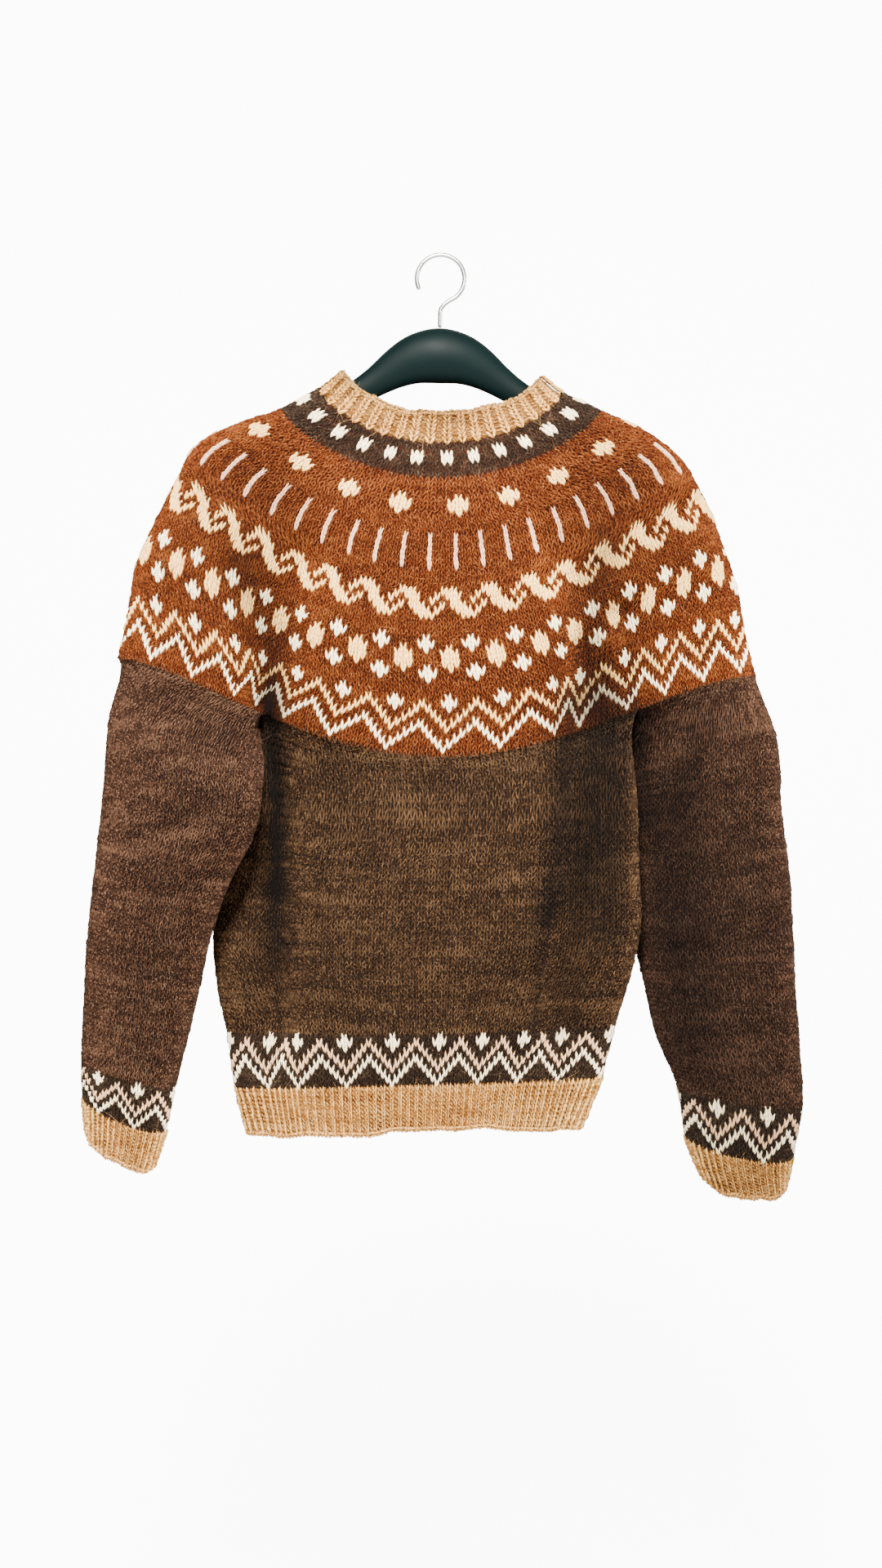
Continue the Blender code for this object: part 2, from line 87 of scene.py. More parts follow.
# The yoke and the neckband above it. left_ and right_ are the shoulder outlines, _y how
# far they lie behind the middle, front_ and back_ the centre lines, _out their distance
# from the middle, and arch how late a row drops from the shoulder to the centre.
YOKE = table("""
row left_x left_z left_y right_x right_z right_y front_z front_out back_z back_out arch
0   -281   -355   -26    279     -369    16      -441    57        -441   57       1.7
8   -273   -315   -20    269     -331    12      -406    59        -405   58       1.6
16  -268   -276   -13    262     -292    8       -372    60        -370   59       1.5
24  -253   -238   -7     248     -253    4       -338    60        -335   59       1.35
32  -235   -202   -3     233     -215    2       -305    58        -299   58       1.2
40  -217   -168   0      212     -179    0       -271    56        -264   57       1.15
48  -183   -148   0      181     -154    0       -237    52        -229   55       1
56  -145   -135   0      145     -137    0       -203    45        -194   51       0.8
60  -127   -126   0      127     -128    0       -186    40        -177   48       0.72
64  -107   -115   0      107     -119    0       -168    36        -160   44       0.68
71  -87    -101   0      89      -105    0       -142    32        -134   40       0.7
""")
DIVIDE_AT = np.array([0.62, 0.56, 0.62, 0.55])    # corners, as shares of the half width

# The body below the yoke, and the hem below that. lift is how much higher the row's
# ends are than its middle, slope how much higher its right end is than its middle, and
# left_y and right_y how far its ends lie behind the middle.
BODY = table("""
row middle_x z    half_x half_y lift slope left_y right_y
0   2        -441 161    56     34   0     12     -8
10  -4       -485 175    55     20   0     20     -12
22  -11      -538 184    54     10   0     21     -13
36  -14      -600 188    53     3    1     16     -10
47  -17      -646 180    52     0    2     10     -6
55  -18      -680 171    51     0    3     6      -4
65  -20      -724 162    49     -2   5     4      -2
76  -21      -764 155    46     -3   6     3      0
""")

# The sleeves. turn brings a row's +X end forward and tilt lets it down, in degrees, and
# dip is how far its front hangs below its middle.
SLEEVE_LEFT = table("""
row x    y   z    half_x half_y tilt turn dip
0   -217 -30 -384 68     35     21   16   0
12  -221 -46 -435 76     37     19   22   0
26  -228 -46 -494 71     38     15   20   0
34  -238 -43 -527 63     38     13   18   0
48  -252 -36 -585 55     37     11   15   0
58  -259 -29 -626 52     35     11   12   1
68  -265 -24 -667 48     33     12   10   2
80  -273 -19 -716 43     30     16   8    3
90  -277 -16 -752 39     27     22   5    5
101 -281 -14 -785 33     23     26   5    7
""")
SLEEVE_RIGHT = table("""
row x   y  z    half_x half_y tilt turn dip
0   227 18 -388 55     36     -20  14   0
12  231 26 -443 71     38     -13  20   0
26  235 28 -506 71     39     -11  20   0
36  239 26 -550 72     39     -8   18   0
46  242 23 -595 71     39     -5   15   1
56  247 19 -638 67     37     -2   12   1
68  254 13 -690 63     34     2    9    2
80  264 6  -740 55     31     8    6    4
90  263 3  -783 48     28     11   5    8
101 270 0  -812 40     24     5    5    14
""")

# The largest folds of the trunk: which face they are on (-1 front, 1 back), their half
# width and how deep they go in, in millimetres, and the X,Z of the points they run through.
FOLDS = listed("""
trunk -1 20 15 -124,-270 -150,-410 -142,-550 -140,-670
trunk -1 12 9 -153,-380 -146,-550 -140,-690
trunk -1 15 15 160,-320 170,-410 168,-430
trunk -1 17 9 96,-260 124,-350 136,-420
trunk -1 26 14 146,-380 144,-460 128,-570 110,-680
trunk 1 18 9 -140,-310 -158,-400 -150,-470
trunk 1 18 12 130,-300 142,-410 138,-500
trunk 1 22 10 -60,-460 -85,-580 -80,-680
""")
FOLD_FACE = 0.02          # a fold is at full depth this far from the middle

# Soft creases beyond the main folds, as FOLDS. One with a negative depth stands proud.
CREASES = listed("""
trunk -1 12 9 126,-350 119,-440 106,-570 93,-670
trunk -1 10 -4 110,-330 103,-420 86,-560 72,-680
trunk -1 12 3 -60,-200 -100,-280 -118,-350
trunk -1 14 2.6 60,-200 104,-270 136,-320
trunk -1 20 -3 -80,-250 -108,-400 -110,-560
trunk -1 16 -3 112,-320 104,-450 85,-600
trunk -1 18 2.2 -20,-470 -40,-560 -30,-660
trunk -1 16 2 40,-500 30,-590 44,-680
trunk -1 12 2.2 -100,-600 -60,-640 -20,-650
trunk 1 14 3 -50,-210 -90,-290 -110,-360
trunk 1 15 2.6 55,-200 90,-280 118,-340
trunk 1 18 3 20,-480 36,-580 20,-680
trunk 1 14 2.4 110,-540 70,-600 30,-620
left -1 10 4 -190,-470 -222,-500 -262,-512
left -1 9 3.4 -196,-545 -232,-560 -280,-552
left -1 10 3 -220,-610 -250,-628 -292,-618
left -1 12 2.6 -236,-670 -262,-690 -300,-684
left 1 11 3.6 -200,-490 -230,-520 -270,-530
left 1 11 3 -220,-590 -250,-610 -290,-604
right -1 12 5.2 226,-440 212,-480 190,-530
right -1 12 3.6 290,-480 250,-530 200,-560
right -1 11 3.2 300,-580 258,-610 210,-612
right -1 12 3 300,-660 262,-690 226,-690
right 1 12 3.6 200,-500 240,-530 290,-530
right 1 11 3 210,-610 250,-630 296,-620
""")

# Painted shade, where the wool lies in a fold or out of the light: as FOLDS, with the
# share of its colour that is darkened to black there instead of a depth.
PAINTED_SHADES = listed("""
trunk -1 13 0.88 -150,-392 -147,-430 -144,-500 -146,-560
trunk -1 15 0.56 -146,-565 -145,-610
trunk -1 22 0.35 -145,-600 -141,-645
trunk -1 30 0.12 -120,-420 -120,-520 -116,-640
trunk -1 11 0.62 110,-395 106,-464 100,-528 91,-580
trunk -1 7 0.5 94,-570 85,-619 80,-675
trunk -1 29 0.74 134,-395 132,-464 125,-530 121,-560
trunk -1 26 0.34 117,-605 110,-669
trunk -1 16 0.5 158,-395 154,-470 148,-600
trunk -1 200 0.1 -60,-600 60,-600
trunk -1 18 0.6 -104,-75 -85,-105 0,-141 85,-105 104,-75
trunk -1 18 0.5 -172,-275 -158,-320 -148,-360 -146,-400
trunk -1 40 0.22 -150,-230 -140,-350
trunk -1 20 0.52 140,-262 134,-300 128,-345 136,-400
trunk -1 40 0.24 150,-230 160,-350
trunk -1 60 0.2 -150,-140 -190,-190 -220,-290
trunk -1 60 0.24 150,-140 190,-190 215,-250
trunk 1 14 0.45 140,-330 142,-420 138,-520
trunk 1 14 0.45 -150,-330 -156,-420 -150,-500
left -1 5 0.4 -150,-440 -154,-490 -168,-540
right -1 12 0.7 172,-400 175,-440 180,-500
right -1 14 0.36 226,-400 222,-450 212,-500
right -1 32 0.56 198,-480 203,-580 214,-700
right -1 220 0.46 255,-620 270,-800
""")
PAINTED_SHADE_EDGE = 5           # how sharply a painted shade ends where its face turns away

# How the stitches crowd together in the folds and stray from even spacing: the first and
# the last row (full at one, gone by the other), and shares of a row with their shifts.
STRAYS = listed("""
yoke 0 11 0,-7
yoke 4 30 -250,20 -172,21.5 -138,9.3 -103.4,1.8 -69,0 69,0 103.4,-17 138,-15 172,-17 250,-15 500,2
yoke 37 32 -400,0 -250,-19 -211,-17.5 -167,-11.8 -144,-5.6 -122,-3.8 -78,1.5 -11,3.5 56,5.2 \
    100,9.2 144,13.5 189,21 250,22 400,0
yoke 49 45 -400,0 -250,-1 -149,-3.5 -94,-5.5 -38,-8 17,-2 73,-5.6 129,-9 184,-11.5 \
    250,-10 400,0
body 0 18 -250,-12 -220,-20 -140,-25 120,-25 160,-22 200,-14 250,-6 500,0
body 55 38 -250,12 -203,15 -147,-1 -92,4.5 -36,4.7 19,3.4 75,-2.8 131,-10.5 186,-14 \
    242,-7.4 500,0
""")

# The hanger, in its own upright frame: its centre line and half height at each distance
# from the middle. It hangs a little askew on its hook.
HANGER = table("""
x   z      half_height
0   -86.2  24.6
20  -89.5  22.2
36  -97.2  18
54  -109.5 13.2
70  -120   11.5
90  -132.2 11.2
112 -142.4 11
145 -154.1 10.8
178 -166.2 10
196 -175.8 8.4
204 -180.8 5.6
""")
HANGER_LEAN = math.radians(0.9)
HANGER_THICKNESS = 0.55   # of its height
HOOK_WIRE = 0.002         # radius
HOOK_RADIUS = 0.021       # of the wire's centre line
HOOK_TURNS = (-52, 205)   # from the stem round to the tip, in degrees from +X
STEM_GAP = 0.0006         # from the arch's top to the stem


def smooth(value):
    """0 below 0, 1 above 1, and a soft step between."""
    share = np.clip(value, 0, 1)
    return share * share * (3 - 2 * share)


def at(columns, row):
    """Every column of a table at one row, on a smooth curve through the table."""
    knots = columns["row"]
    first = int(np.clip(np.searchsorted(knots, row) - 1, 0, len(knots) - 2))
    span = knots[first + 1] - knots[first]
    f = (row - knots[first]) / span
    weights = (2 * f**3 - 3 * f**2 + 1, f**3 - 2 * f**2 + f, 3 * f**2 - 2 * f**3, f**3 - f**2)
    found = {}
    for name, values in columns.items():
        slopes = np.gradient(values, knots) * span
        ends = (values[first], slopes[first], values[first + 1], slopes[first + 1])
        found[name] = float(np.dot(weights, ends))
    return SimpleNamespace(**found)


def near(points, path, width):
    """How near the points are to a path seen from the front: 1 on it, fading over a width."""
    x, z = points[..., 0], points[..., 2]
    nearest = np.full(x.shape, np.inf)
    for (x1, z1), (x2, z2) in zip(path, path[1:]):
        dx, dz = x2 - x1, z2 - z1
        along = np.clip(((x - x1) * dx + (z - z1) * dz) / (dx ** 2 + dz ** 2), 0, 1)
        nearest = np.minimum(nearest, np.hypot(x - x1 - along * dx, z - z1 - along * dz))
    return np.exp(-(nearest * 1000 / width) ** 2)


def pressed(points, lines, middle=0.0, share=1.0):
    """The points with folds or creases pressed in along Y, or a share of them."""
    y = points[..., 1]
    shift = np.zeros(y.shape)
    for face, width, depth, path in lines:
        facing = smooth(face * (y - middle) / FOLD_FACE)
        shift -= face * depth / 1000 * near(points, path, width) * facing
    moved = points.copy()
    moved[..., 1] += share * shift
    return moved


def folded(points, share=1.0):
    return pressed(points, FOLDS["trunk"], share=share)


def arc_shares(curve):
    """How far round each point of a curve is, from 0 to 1."""
    steps = np.linalg.norm(np.diff(curve, axis=0), axis=1)
    return np.concatenate([[0], np.cumsum(steps)]) / steps.sum()


def pick(curve, measured, shares):
    """Points of a curve at shares of its length, which is measured on its final form."""
    along = arc_shares(measured)
    return np.stack([np.interp(shares, along, curve[:, k]) for k in range(3)], axis=-1)


TURNS = np.linspace(0, 2 * math.pi, CURVE_STEPS + 1)
ACROSS, AHEAD = np.sin(TURNS), np.cos(TURNS)


def yoke_curve(row):
    """One row of the yoke, before its folds, from the centre front round to it again."""
    size = at(YOKE, row)
    out = (size.front_out + size.back_out) / 2 + (size.front_out - size.back_out) / 2 * AHEAD
    side_z = size.left_z + (size.right_z - size.left_z) * (1 + ACROSS) / 2
    centre_z = np.where(AHEAD > 0, size.front_z, size.back_z)
    x = size.left_x + (size.right_x - size.left_x) / 2 * (1 + ACROSS)
    left, right = (smooth((own - 0.5) / 0.3) for own in (-ACROSS, ACROSS))
    z = side_z + (centre_z - side_z) * np.abs(AHEAD) ** (2 * size.arch)
    return np.stack([x, size.left_y * left + size.right_y * right - AHEAD * out, z], axis=1)


# Where the yoke's lowest row divides into the body and the sleeves.
DIVIDE_TURNS = np.arcsin(DIVIDE_AT) * (1, -1, 1, -1) + math.pi * np.array([0, 1, 1, 2])
DIVIDE_SHARES = np.interp(DIVIDE_TURNS, TURNS, arc_shares(folded(yoke_curve(0))))


def yoke_row(row, shares):
    """Points of a row of the yoke, before its folds, at shares of its stitches."""
    corners = DIVIDE_SHARES + (YOKE_CORNERS - DIVIDE_SHARES) * smooth(row / SETTLE_ROWS)
    stitches, lengths = ([own[-1] - 1, *own, own[0] + 1] for own in (YOKE_CORNERS, corners))
    curve = yoke_curve(row)
    return pick(curve, folded(curve), np.interp(shares % 1, stitches, lengths) % 1)


# The underarms' ends: the right one's front and back, then the left one's back and front.
ENDS = yoke_row(0, YOKE_CORNERS)
RIGHT_UNDERARM, LEFT_UNDERARM = slice(0, 2), slice(2, 4)


def body_top(shares):
    """The body's first row: the yoke's front and back, and the two underarms."""
    points = yoke_row(0, np.interp(shares, [0, *BODY_CORNERS, 1], [0, *YOKE_CORNERS, 1]))
    for underarm in (RIGHT_UNDERARM, LEFT_UNDERARM):
        (first, last), (start, end) = ENDS[underarm], BODY_CORNERS[underarm]
        under = (shares >= start) & (shares <= end)
        along = (shares[under] - start) / (end - start)
        points[under] = first + along[:, None] * (last - first)
    return points


def kept_apart(points, row, underarm, side):
    """The points of a tube held on its side of an underarm: -1 the body's, 1 the sleeve's."""
    first, last = folded(ENDS[underarm])
    to_sleeve = np.array([last[1] - first[1], first[0] - last[0], 0])
    to_sleeve *= side / np.linalg.norm(to_sleeve)
    short = UNDERARM_GAP * row - (points - first) @ to_sleeve
    hold = 1 - smooth(row / UNDERARM_ROWS - 1)
    return points + hold * np.maximum(0, short)[:, None] * to_sleeve


def body_row(row, shares):
    """Points of a row of the body or the hem, at shares of its stitches."""
    size = at(BODY, row)
    ends = size.left_y * smooth(-ACROSS) + size.right_y * smooth(ACROSS)
    section = np.stack([size.middle_x + size.half_x * ACROSS, ends - size.half_y * AHEAD,
                        size.z + size.lift * ACROSS ** 2 + size.slope * ACROSS], axis=1)
    own = pick(section, folded(section), shares)
    reached = smooth(row / BODY_JOIN_ROWS)
    points = folded(body_top(shares) * (1 - reached) + own * reached)
    for underarm in (RIGHT_UNDERARM, LEFT_UNDERARM):
        points = kept_apart(points, row, underarm, -1)
    return points


def sleeve_row(sizes, underarm, start, row, shares):
    """Points of a row of a sleeve or cuff, from the middle of its underarm at a start angle."""
    size = at(sizes, row)
    turn, tilt = math.radians(size.turn), math.radians(size.tilt)
    level = math.cos(tilt)
    along = np.array([math.cos(turn) * level, -math.sin(turn) * level, -math.sin(tilt)])
    through = np.array([math.sin(turn), math.cos(turn), 0])
    angles = TURNS + start
    section = (np.array([size.x, size.y, size.z])
               + size.half_x * np.cos(angles)[:, None] * along
               + size.half_y * np.sin(angles)[:, None] * through)
    section[:, 2] += size.dip * np.minimum(np.sin(angles), 0)
    own = pick(section, section, shares)

    half = UNDERARM_SHARE / 2
    top = yoke_row(0, np.interp(shares, [half, 1 - half], YOKE_CORNERS[underarm]))
    first, last = ENDS[underarm]
    past = np.where(shares < 0.5, shares, shares - 1)
    under = np.abs(past) <= half
    top[under] = first + ((half - past[under]) / (2 * half))[:, None] * (last - first)
    reached = smooth(row / SLEEVE_JOIN_ROWS)
    points = folded(top * (1 - reached) + own * reached, 1 - smooth(row / BODY_JOIN_ROWS))
    return kept_apart(points, row, underarm, 1)


# The knitting. Each chart is written from its top row down, one mark a stitch, and
# repeats round the piece: W white, C cream, P peach, K pale pink, a dot the ground.
ZIGZAG = """
W.........
WW...C...W
W...C.C...
...C...C..
..C.....C.
.C...W...C
C...W.W...
...W...W..
..W.....W.
.W.......W
W........."""
CLUSTERS = """
W.......
WW.....W
W...C...
...CCC..
...CCC..
...CCC..
W...C...
WW.....W
W......."""
WAVE = """
..CCC...
.C.CCC..
C...CC..
..C.CCC.
.C...CCC
C.....CC"""
BARS = "\n" + "\n".join(["K...."] * 7)
DIAMONDS = """
C.......
CC.....C
CC.....C
C......."""
DOTS = """
WW...
WW..."""
BORDER = """
W.........
WW...P...W
W...P.P...
...P...P..
..P..W..P.
.P..W.W..P
P..W...W..
..W.....W.
.W.......W
W........."""

# The bands of each piece: first row, last row, stitches round, ground yarn, chart, and
# the stitch that the chart's first mark falls on. A chart fills its band.
YOKE_BANDS = (
    (0, 0, 290, "rust", None, 0),
    (1, 11, 290, "rust", ZIGZAG, 0),
    (12, 14, 280, "rust", None, 0),
    (15, 23, 248, "rust", CLUSTERS, -3),
    (24, 27, 248, "rust", None, 0),
    (28, 33, 248, "rust", WAVE, -2),
    (34, 37, 240, "rust", None, 0),
    (38, 44, 225, "rust", BARS, 2),
    (45, 48, 200, "rust", None, 0),
    (49, 52, 144, "rust", DIAMONDS, 2),
    (53, 56, 136, "rust", None, 0),
    (57, 59, 130, "dark", None, 0),
    (60, 61, 130, "dark", DOTS, 0),
    (62, 63, 120, "dark", None, 0),
)
BODY_BANDS = ((0, 54, 160, "brown", None, 0), (55, 64, 180, "dark", BORDER, 3))
SLEEVE_BORDER_ROW = 80
SLEEVE_EVEN_ROWS = 12          # a sleeve narrows below these
SLEEVE_STITCHES = (80, 60)     # round the top of a sleeve and its lower end


def sleeve_bands(first_mark):
    """A sleeve narrows by pairs of stitches from its top to its border."""
    most, fewest = SLEEVE_STITCHES
    bands = []
    for row in range(SLEEVE_BORDER_ROW):
        share = max(0, row - SLEEVE_EVEN_ROWS) / (SLEEVE_BORDER_ROW - SLEEVE_EVEN_ROWS)
        stitches = int(round((most + (fewest - most) * share) / 2)) * 2
        bands.append((row, row, stitches, "umber", None, 0))
    return (*bands, (SLEEVE_BORDER_ROW, SLEEVE_LOW - 1, fewest, "dark", BORDER, first_mark))


BANDS = (
    ("yoke", "yoke", YOKE_BANDS), ("body", "body", BODY_BANDS),
    ("sleeve_left", "left", sleeve_bands(9)), ("sleeve_right", "right", sleeve_bands(0)),
)

# Each knitted piece: its tube, its first and last row, the wool of its plain cloth, a
# rib's stitches, and its cut laid flat: round and along, and the area where it narrows.
PIECES = (
    ("yoke", "yoke", 0, YOKE_TOP, "rust", None, (1.283, 0.2865), 0.290),
    ("neckband", "yoke", YOKE_TOP, NECK_TOP, "camel", 80, (0.49, 0.0257), None),
    ("body", "body", 0, BODY_LOW, "brown", None, (0.80, 0.3077), None),
    ("hem_rib", "body", BODY_LOW, HEM_LOW, "camel", 192, (0.68, 0.0422), None),
    ("sleeve_left", "left", 0, SLEEVE_LOW, "brown", None, (0.36, 0.403), 0.116),
    ("cuff_left", "left", SLEEVE_LOW, CUFF_LOW, "camel", 72, (0.197, 0.0343), None),
    ("sleeve_right", "right", 0, SLEEVE_LOW, "brown", None, (0.355, 0.4175), 0.133),
    ("cuff_right", "right", SLEEVE_LOW, CUFF_LOW, "camel", 72, (0.23, 0.0326), None),
)

# Where the loose fibres are: the piece, its tube, their yarn, the first and the last row,
# and how many short and long hairs.
FUZZ = (
    ("yoke", "yoke", "rust fuzz", 0, 56, 10200, 1100),
    ("yoke", "yoke", "brown fuzz", 56, YOKE_TOP, 1700, 260),
    ("neckband", "yoke", "camel fuzz", YOKE_TOP, NECK_TOP, 1000, 200),
    ("body", "body", "brown fuzz", 0, BODY_LOW, 11300, 1300),
    ("hem_rib", "body", "camel fuzz", BODY_LOW, HEM_LOW, 1300, 160),
    ("sleeve_left", "left", "brown fuzz", 0, SLEEVE_LOW, 5600, 800),
    ("cuff_left", "left", "camel fuzz", SLEEVE_LOW, CUFF_LOW, 360, 70),
    ("sleeve_right", "right", "brown fuzz", 0, SLEEVE_LOW, 5600, 800),
    ("cuff_right", "right", "camel fuzz", SLEEVE_LOW, CUFF_LOW, 360, 70),
)

# Each yarn: its colour, its paler and its deeper fibres, how many fibres are paler, and
# how much its stitches differ.
YARNS = {
    "rust": ((0.086, 0.0156, 0.0020), (0.250, 0.073, 0.014), (0.012, 0.0020, 0.0006), 0.30, 0.92),
    "brown": ((0.0222, 0.0098, 0.0038), (0.145, 0.077, 0.034), (0.0036, 0.0017, 0.0009), .29, .98),
    "umber": ((0.0250, 0.0100, 0.0048), (0.152, 0.075, 0.042), (0.0040, 0.0017, 0.0010), .29, .98),
    "dark": ((0.016, 0.0085, 0.0046), (0.090, 0.055, 0.033), (0.0040, 0.0022, 0.0015), 0.18, 0.50),
    "camel": ((0.56, 0.242, 0.046), (0.93, 0.57, 0.19), (0.10, 0.026, 0.004), 0.36, 1.10),
    "white": ((0.98, 0.78, 0.43), (1.0, 0.93, 0.66), (0.50, 0.29, 0.13), 0.50, 0.24),
    "cream": ((0.84, 0.48, 0.14), (0.97, 0.72, 0.30), (0.40, 0.17, 0.04), 0.40, 0.30),
    "peach": ((0.66, 0.385, 0.195), (0.90, 0.66, 0.42), (0.32, 0.15, 0.07), 0.36, 0.24),
    "pink": ((0.64, 0.35, 0.20), (0.90, 0.64, 0.46), (0.30, 0.12, 0.06), 0.36, 0.26),
}
FUZZ_YARNS = {
    "rust fuzz": ((0.24, 0.065, 0.012), (0.60, 0.28, 0.095), (0.060, 0.013, 0.003), 0.30, 0.80),
    "brown fuzz": ((0.085, 0.046, 0.024), (0.36, 0.23, 0.13), (0.018, 0.009, 0.005), 0.30, 0.80),
    "camel fuzz": ((0.62, 0.33, 0.10), (0.92, 0.64, 0.32), (0.30, 0.12, 0.03), 0.30, 0.60),
}
MARKS = {"W": "white", "C": "cream", "P": "peach", "K": "pink"}

STITCH_SINK = 0.0017     # the stitches' roots lie this far below the cloth's outer face
STITCH_STRAY = 0.00028   # how unevenly they stand out
LEG_HEIGHT = 0.0024      # from a stitch's root to the top of its yarn
BRIGHT_WIDTH = {"white": 1.00, "cream": 0.97, "peach": 1.02, "pink": 0.70}  # of a stitch
BRIGHT_GAP_SHADE, DARK_GAP_SHADE = 0.38, 0.45    # painted shade in the gaps between legs: its colour, as a share of the deep fibres'
RIB_STRAY, PAIR_STRAY = 0.00035, 0.0002    # how unevenly a rib and its pairs stand out
LOOP_SINK = 0.0019       # a cast-off loop's middle lies this far below the outer face
LOOP_TALL, LOOP_STRAY = 0.0042, 0.0003
RIB_WOBBLE, HAIR_WOBBLE = 0.05, 0.5    # how far they turn either way, in radians
RIB_SEED, HAIR_SEED = 11, 31
CLOTH_SINK = 0.0019      # the plain cloth behind the stitches lies this far down
CLOTH_WALL = 0.0014
CLOTH_AROUND, CLOTH_STEP = 120, 2    # its places round, and how many rows it takes at a time
CLOTH_PAINTED_SHADE = 0.42       # its colour, darkened as painted shade, as a share of the yarn's
FIBRE_UNIT = 0.0055      # a fibre's size across,
FIBRE_THIN = 0.020       # and the share of it that is fibre
FIBRE_ROOT = 0.0003      # above the surface
SHORT_HAIR, LONG_HAIR = (0.0045, 0.9), (0.013, 0.35)    # their length, and how far they stand up
WOOL_SLOTS = {"rust": "rust_wool"} | dict.fromkeys(("brown", "umber", "dark"), "brown_wool")
LIGHT_AIM = (0, 0, -0.45)


def painted_shade_of(points, piece):
    """How much painted shade darkens each place, in a fold or out of the light, from 0 to 1."""
    turns = 2 * math.pi * SHARES
    forward = {"trunk": np.cos(turns), "left": -np.sin(turns), "right": np.sin(turns)}[piece]
    clear = np.ones(points.shape[:-1])
    for face, width, strength, path in PAINTED_SHADES[piece]:
        facing = smooth(0.5 - face * forward * PAINTED_SHADE_EDGE)
        clear *= 1 - strength * near(points, path, width) * facing
    return 1 - clear


def wavered(shape, piece, upward):
    """How far a tube's open edge strays across and up: not at all beyond its rib."""
    if upward:
        first, last, size = YOKE_TOP, NECK_TOP, 0.0010
    elif piece == "trunk":
        first, last, size = BODY_LOW, HEM_LOW, 0.0014
    else:
        first, last, size = SLEEVE_LOW, CUFF_LOW, 0.0007
    reached = np.clip((np.arange(shape[0]) - first) / (last - first), 0, 1)[:, None]
    waves = sum(part * np.sin(2 * math.pi * (count * SHARES + start))
                for count, start, part in ((4, 0.13, 1.0), (9, 0.42, 0.7), (17, 0.77, 0.4)))
    moves = np.zeros(shape)
    moves[..., 2] = reached * size * waves
    if last == HEM_LOW:      # its corners draw in and hang lower, the right one more
        side = np.sin(2 * math.pi * SHARES)
        moves[..., 0] = -reached * np.where(side > 0, 0.0105, 0.0050) * side ** 7
        moves[..., 2] -= reached * np.where(side > 0, 0.0060, 0.0010) * np.abs(side) ** 7
    elif piece == "right":   # this cuff's outer corner too
        moves[..., 0] = -0.0060 * reached * np.clip(-np.cos(2 * math.pi * SHARES), 0, 1) ** 7
    return moves


def unit(vectors):
    return vectors / np.linalg.norm(vectors, axis=-1, keepdims=True)


class Tube:
    """A knitted tube's surface: places and outward directions at every row."""

    def __init__(self, rows, place, piece, upward, strays=()):
        self.strays = strays
        own = np.array([place(row, SHARES) for row in rows])
        self.places = pressed(own, CREASES[piece], own[..., 1].mean(axis=-1, keepdims=True))
        self.places += wavered(own.shape, piece, upward)
        self.upward = upward          # the rows are counted upwards
        # painted shade, which darkens the colour where the wool lies in a fold or out of the light
        self.hollow = painted_shade_of(self.places, piece)[..., None]
        along = np.roll(self.places, -1, axis=1) - np.roll(self.places, 1, axis=1)
        climb = np.gradient(self.places, axis=0) * (1 if upward else -1)
        out = np.cross(along, climb)
        out[1:-1] = (out[:-2] + 2 * out[1:-1] + out[2:]) / 4
        self.out = unit(np.roll(out, 1, axis=1) + out + np.roll(out, -1, axis=1))

    def strayed(self, share, row):
        """Where on the row the stitches at even shares lie."""
        moved = share.copy()
        for first, last, shifts in self.strays:
            fade = 1 - smooth((row - first) / (last - first))
            moved += fade * np.interp(share, *zip(*shifts), period=1)
        return moved

    def read(self, values, row, share):
        """Values at one row, at shares of it."""
        step = (share % 1) * AROUND
        first = np.floor(step).astype(int) % AROUND
        f = (step - np.floor(step))[:, None]
        return values[row, first] * (1 - f) + values[row, (first + 1) % AROUND] * f

    def width(self, row, before, after):
        """The distance along a row between two sets of shares."""
        return np.linalg.norm(self.read(self.places, row, after)
                              - self.read(self.places, row, before), axis=1)


def yoke_place(row, shares):
    return folded(yoke_row(row, shares))


TUBES = {
    "yoke": Tube(range(NECK_TOP + 1), yoke_place, "trunk", True, STRAYS["yoke"]),
    "body": Tube(range(HEM_LOW + 1), body_row, "trunk", False, STRAYS["body"]),
    "left": Tube(range(CUFF_LOW + 1), partial(sleeve_row, SLEEVE_LEFT, LEFT_UNDERARM, 0),
                 "left", False),
    "right": Tube(range(CUFF_LOW + 1), partial(sleeve_row, SLEEVE_RIGHT, RIGHT_UNDERARM, math.pi),
                  "right", False),
}


def lay_stitches(tube, row, stitches, unevenness):
    """The stitches of one row: where each stands, which way it faces and climbs, its size."""
    low, high = (row, row + 1) if tube.upward else (row + 1, row)
    even, half = middles(stitches)
    at_root, at_top = tube.strayed(even, low), tube.strayed(even, high)
    root = tube.read(tube.places, low, at_root)
    up = tube.read(tube.places, high, at_top) - root
    out = (tube.read(tube.out, low, at_root) + tube.read(tube.out, high, at_top)) / 2
    wide = tube.width(row, tube.strayed(even - half, row), tube.strayed(even + half, row))
    return {"place": root - out * STITCH_SINK, "out": out, "up": up,
            "hollow": tube.read(tube.hollow, low, at_root)[:, 0],
            "size": sized(wide, np.linalg.norm(up, axis=1), LEG_HEIGHT),
            "tone": row_tones(stitches, unevenness)}


def middles(count):
    """The shares at which stitches stand round a row, and half a stitch's share."""
    return (np.arange(count) + 0.5) / count, 0.5 / count


def sized(wide, tall, high):
    return np.stack(np.broadcast_arrays(wide, tall, high), axis=1)


def joined(parts):
    return {key: np.concatenate([part[key] for part in parts]) for key in parts[0]}


def row_tones(stitches, unevenness):
    """How pale each stitch of a row is: the spun yarn drifts along the row."""
    knots = np.linspace(0, stitches, stitches // 7 + 2)
    drift = np.interp(np.arange(stitches), knots, unevenness.random(len(knots)))
    return unevenness.random(stitches) * 0.45 + drift * 0.35 + unevenness.random() * 0.2


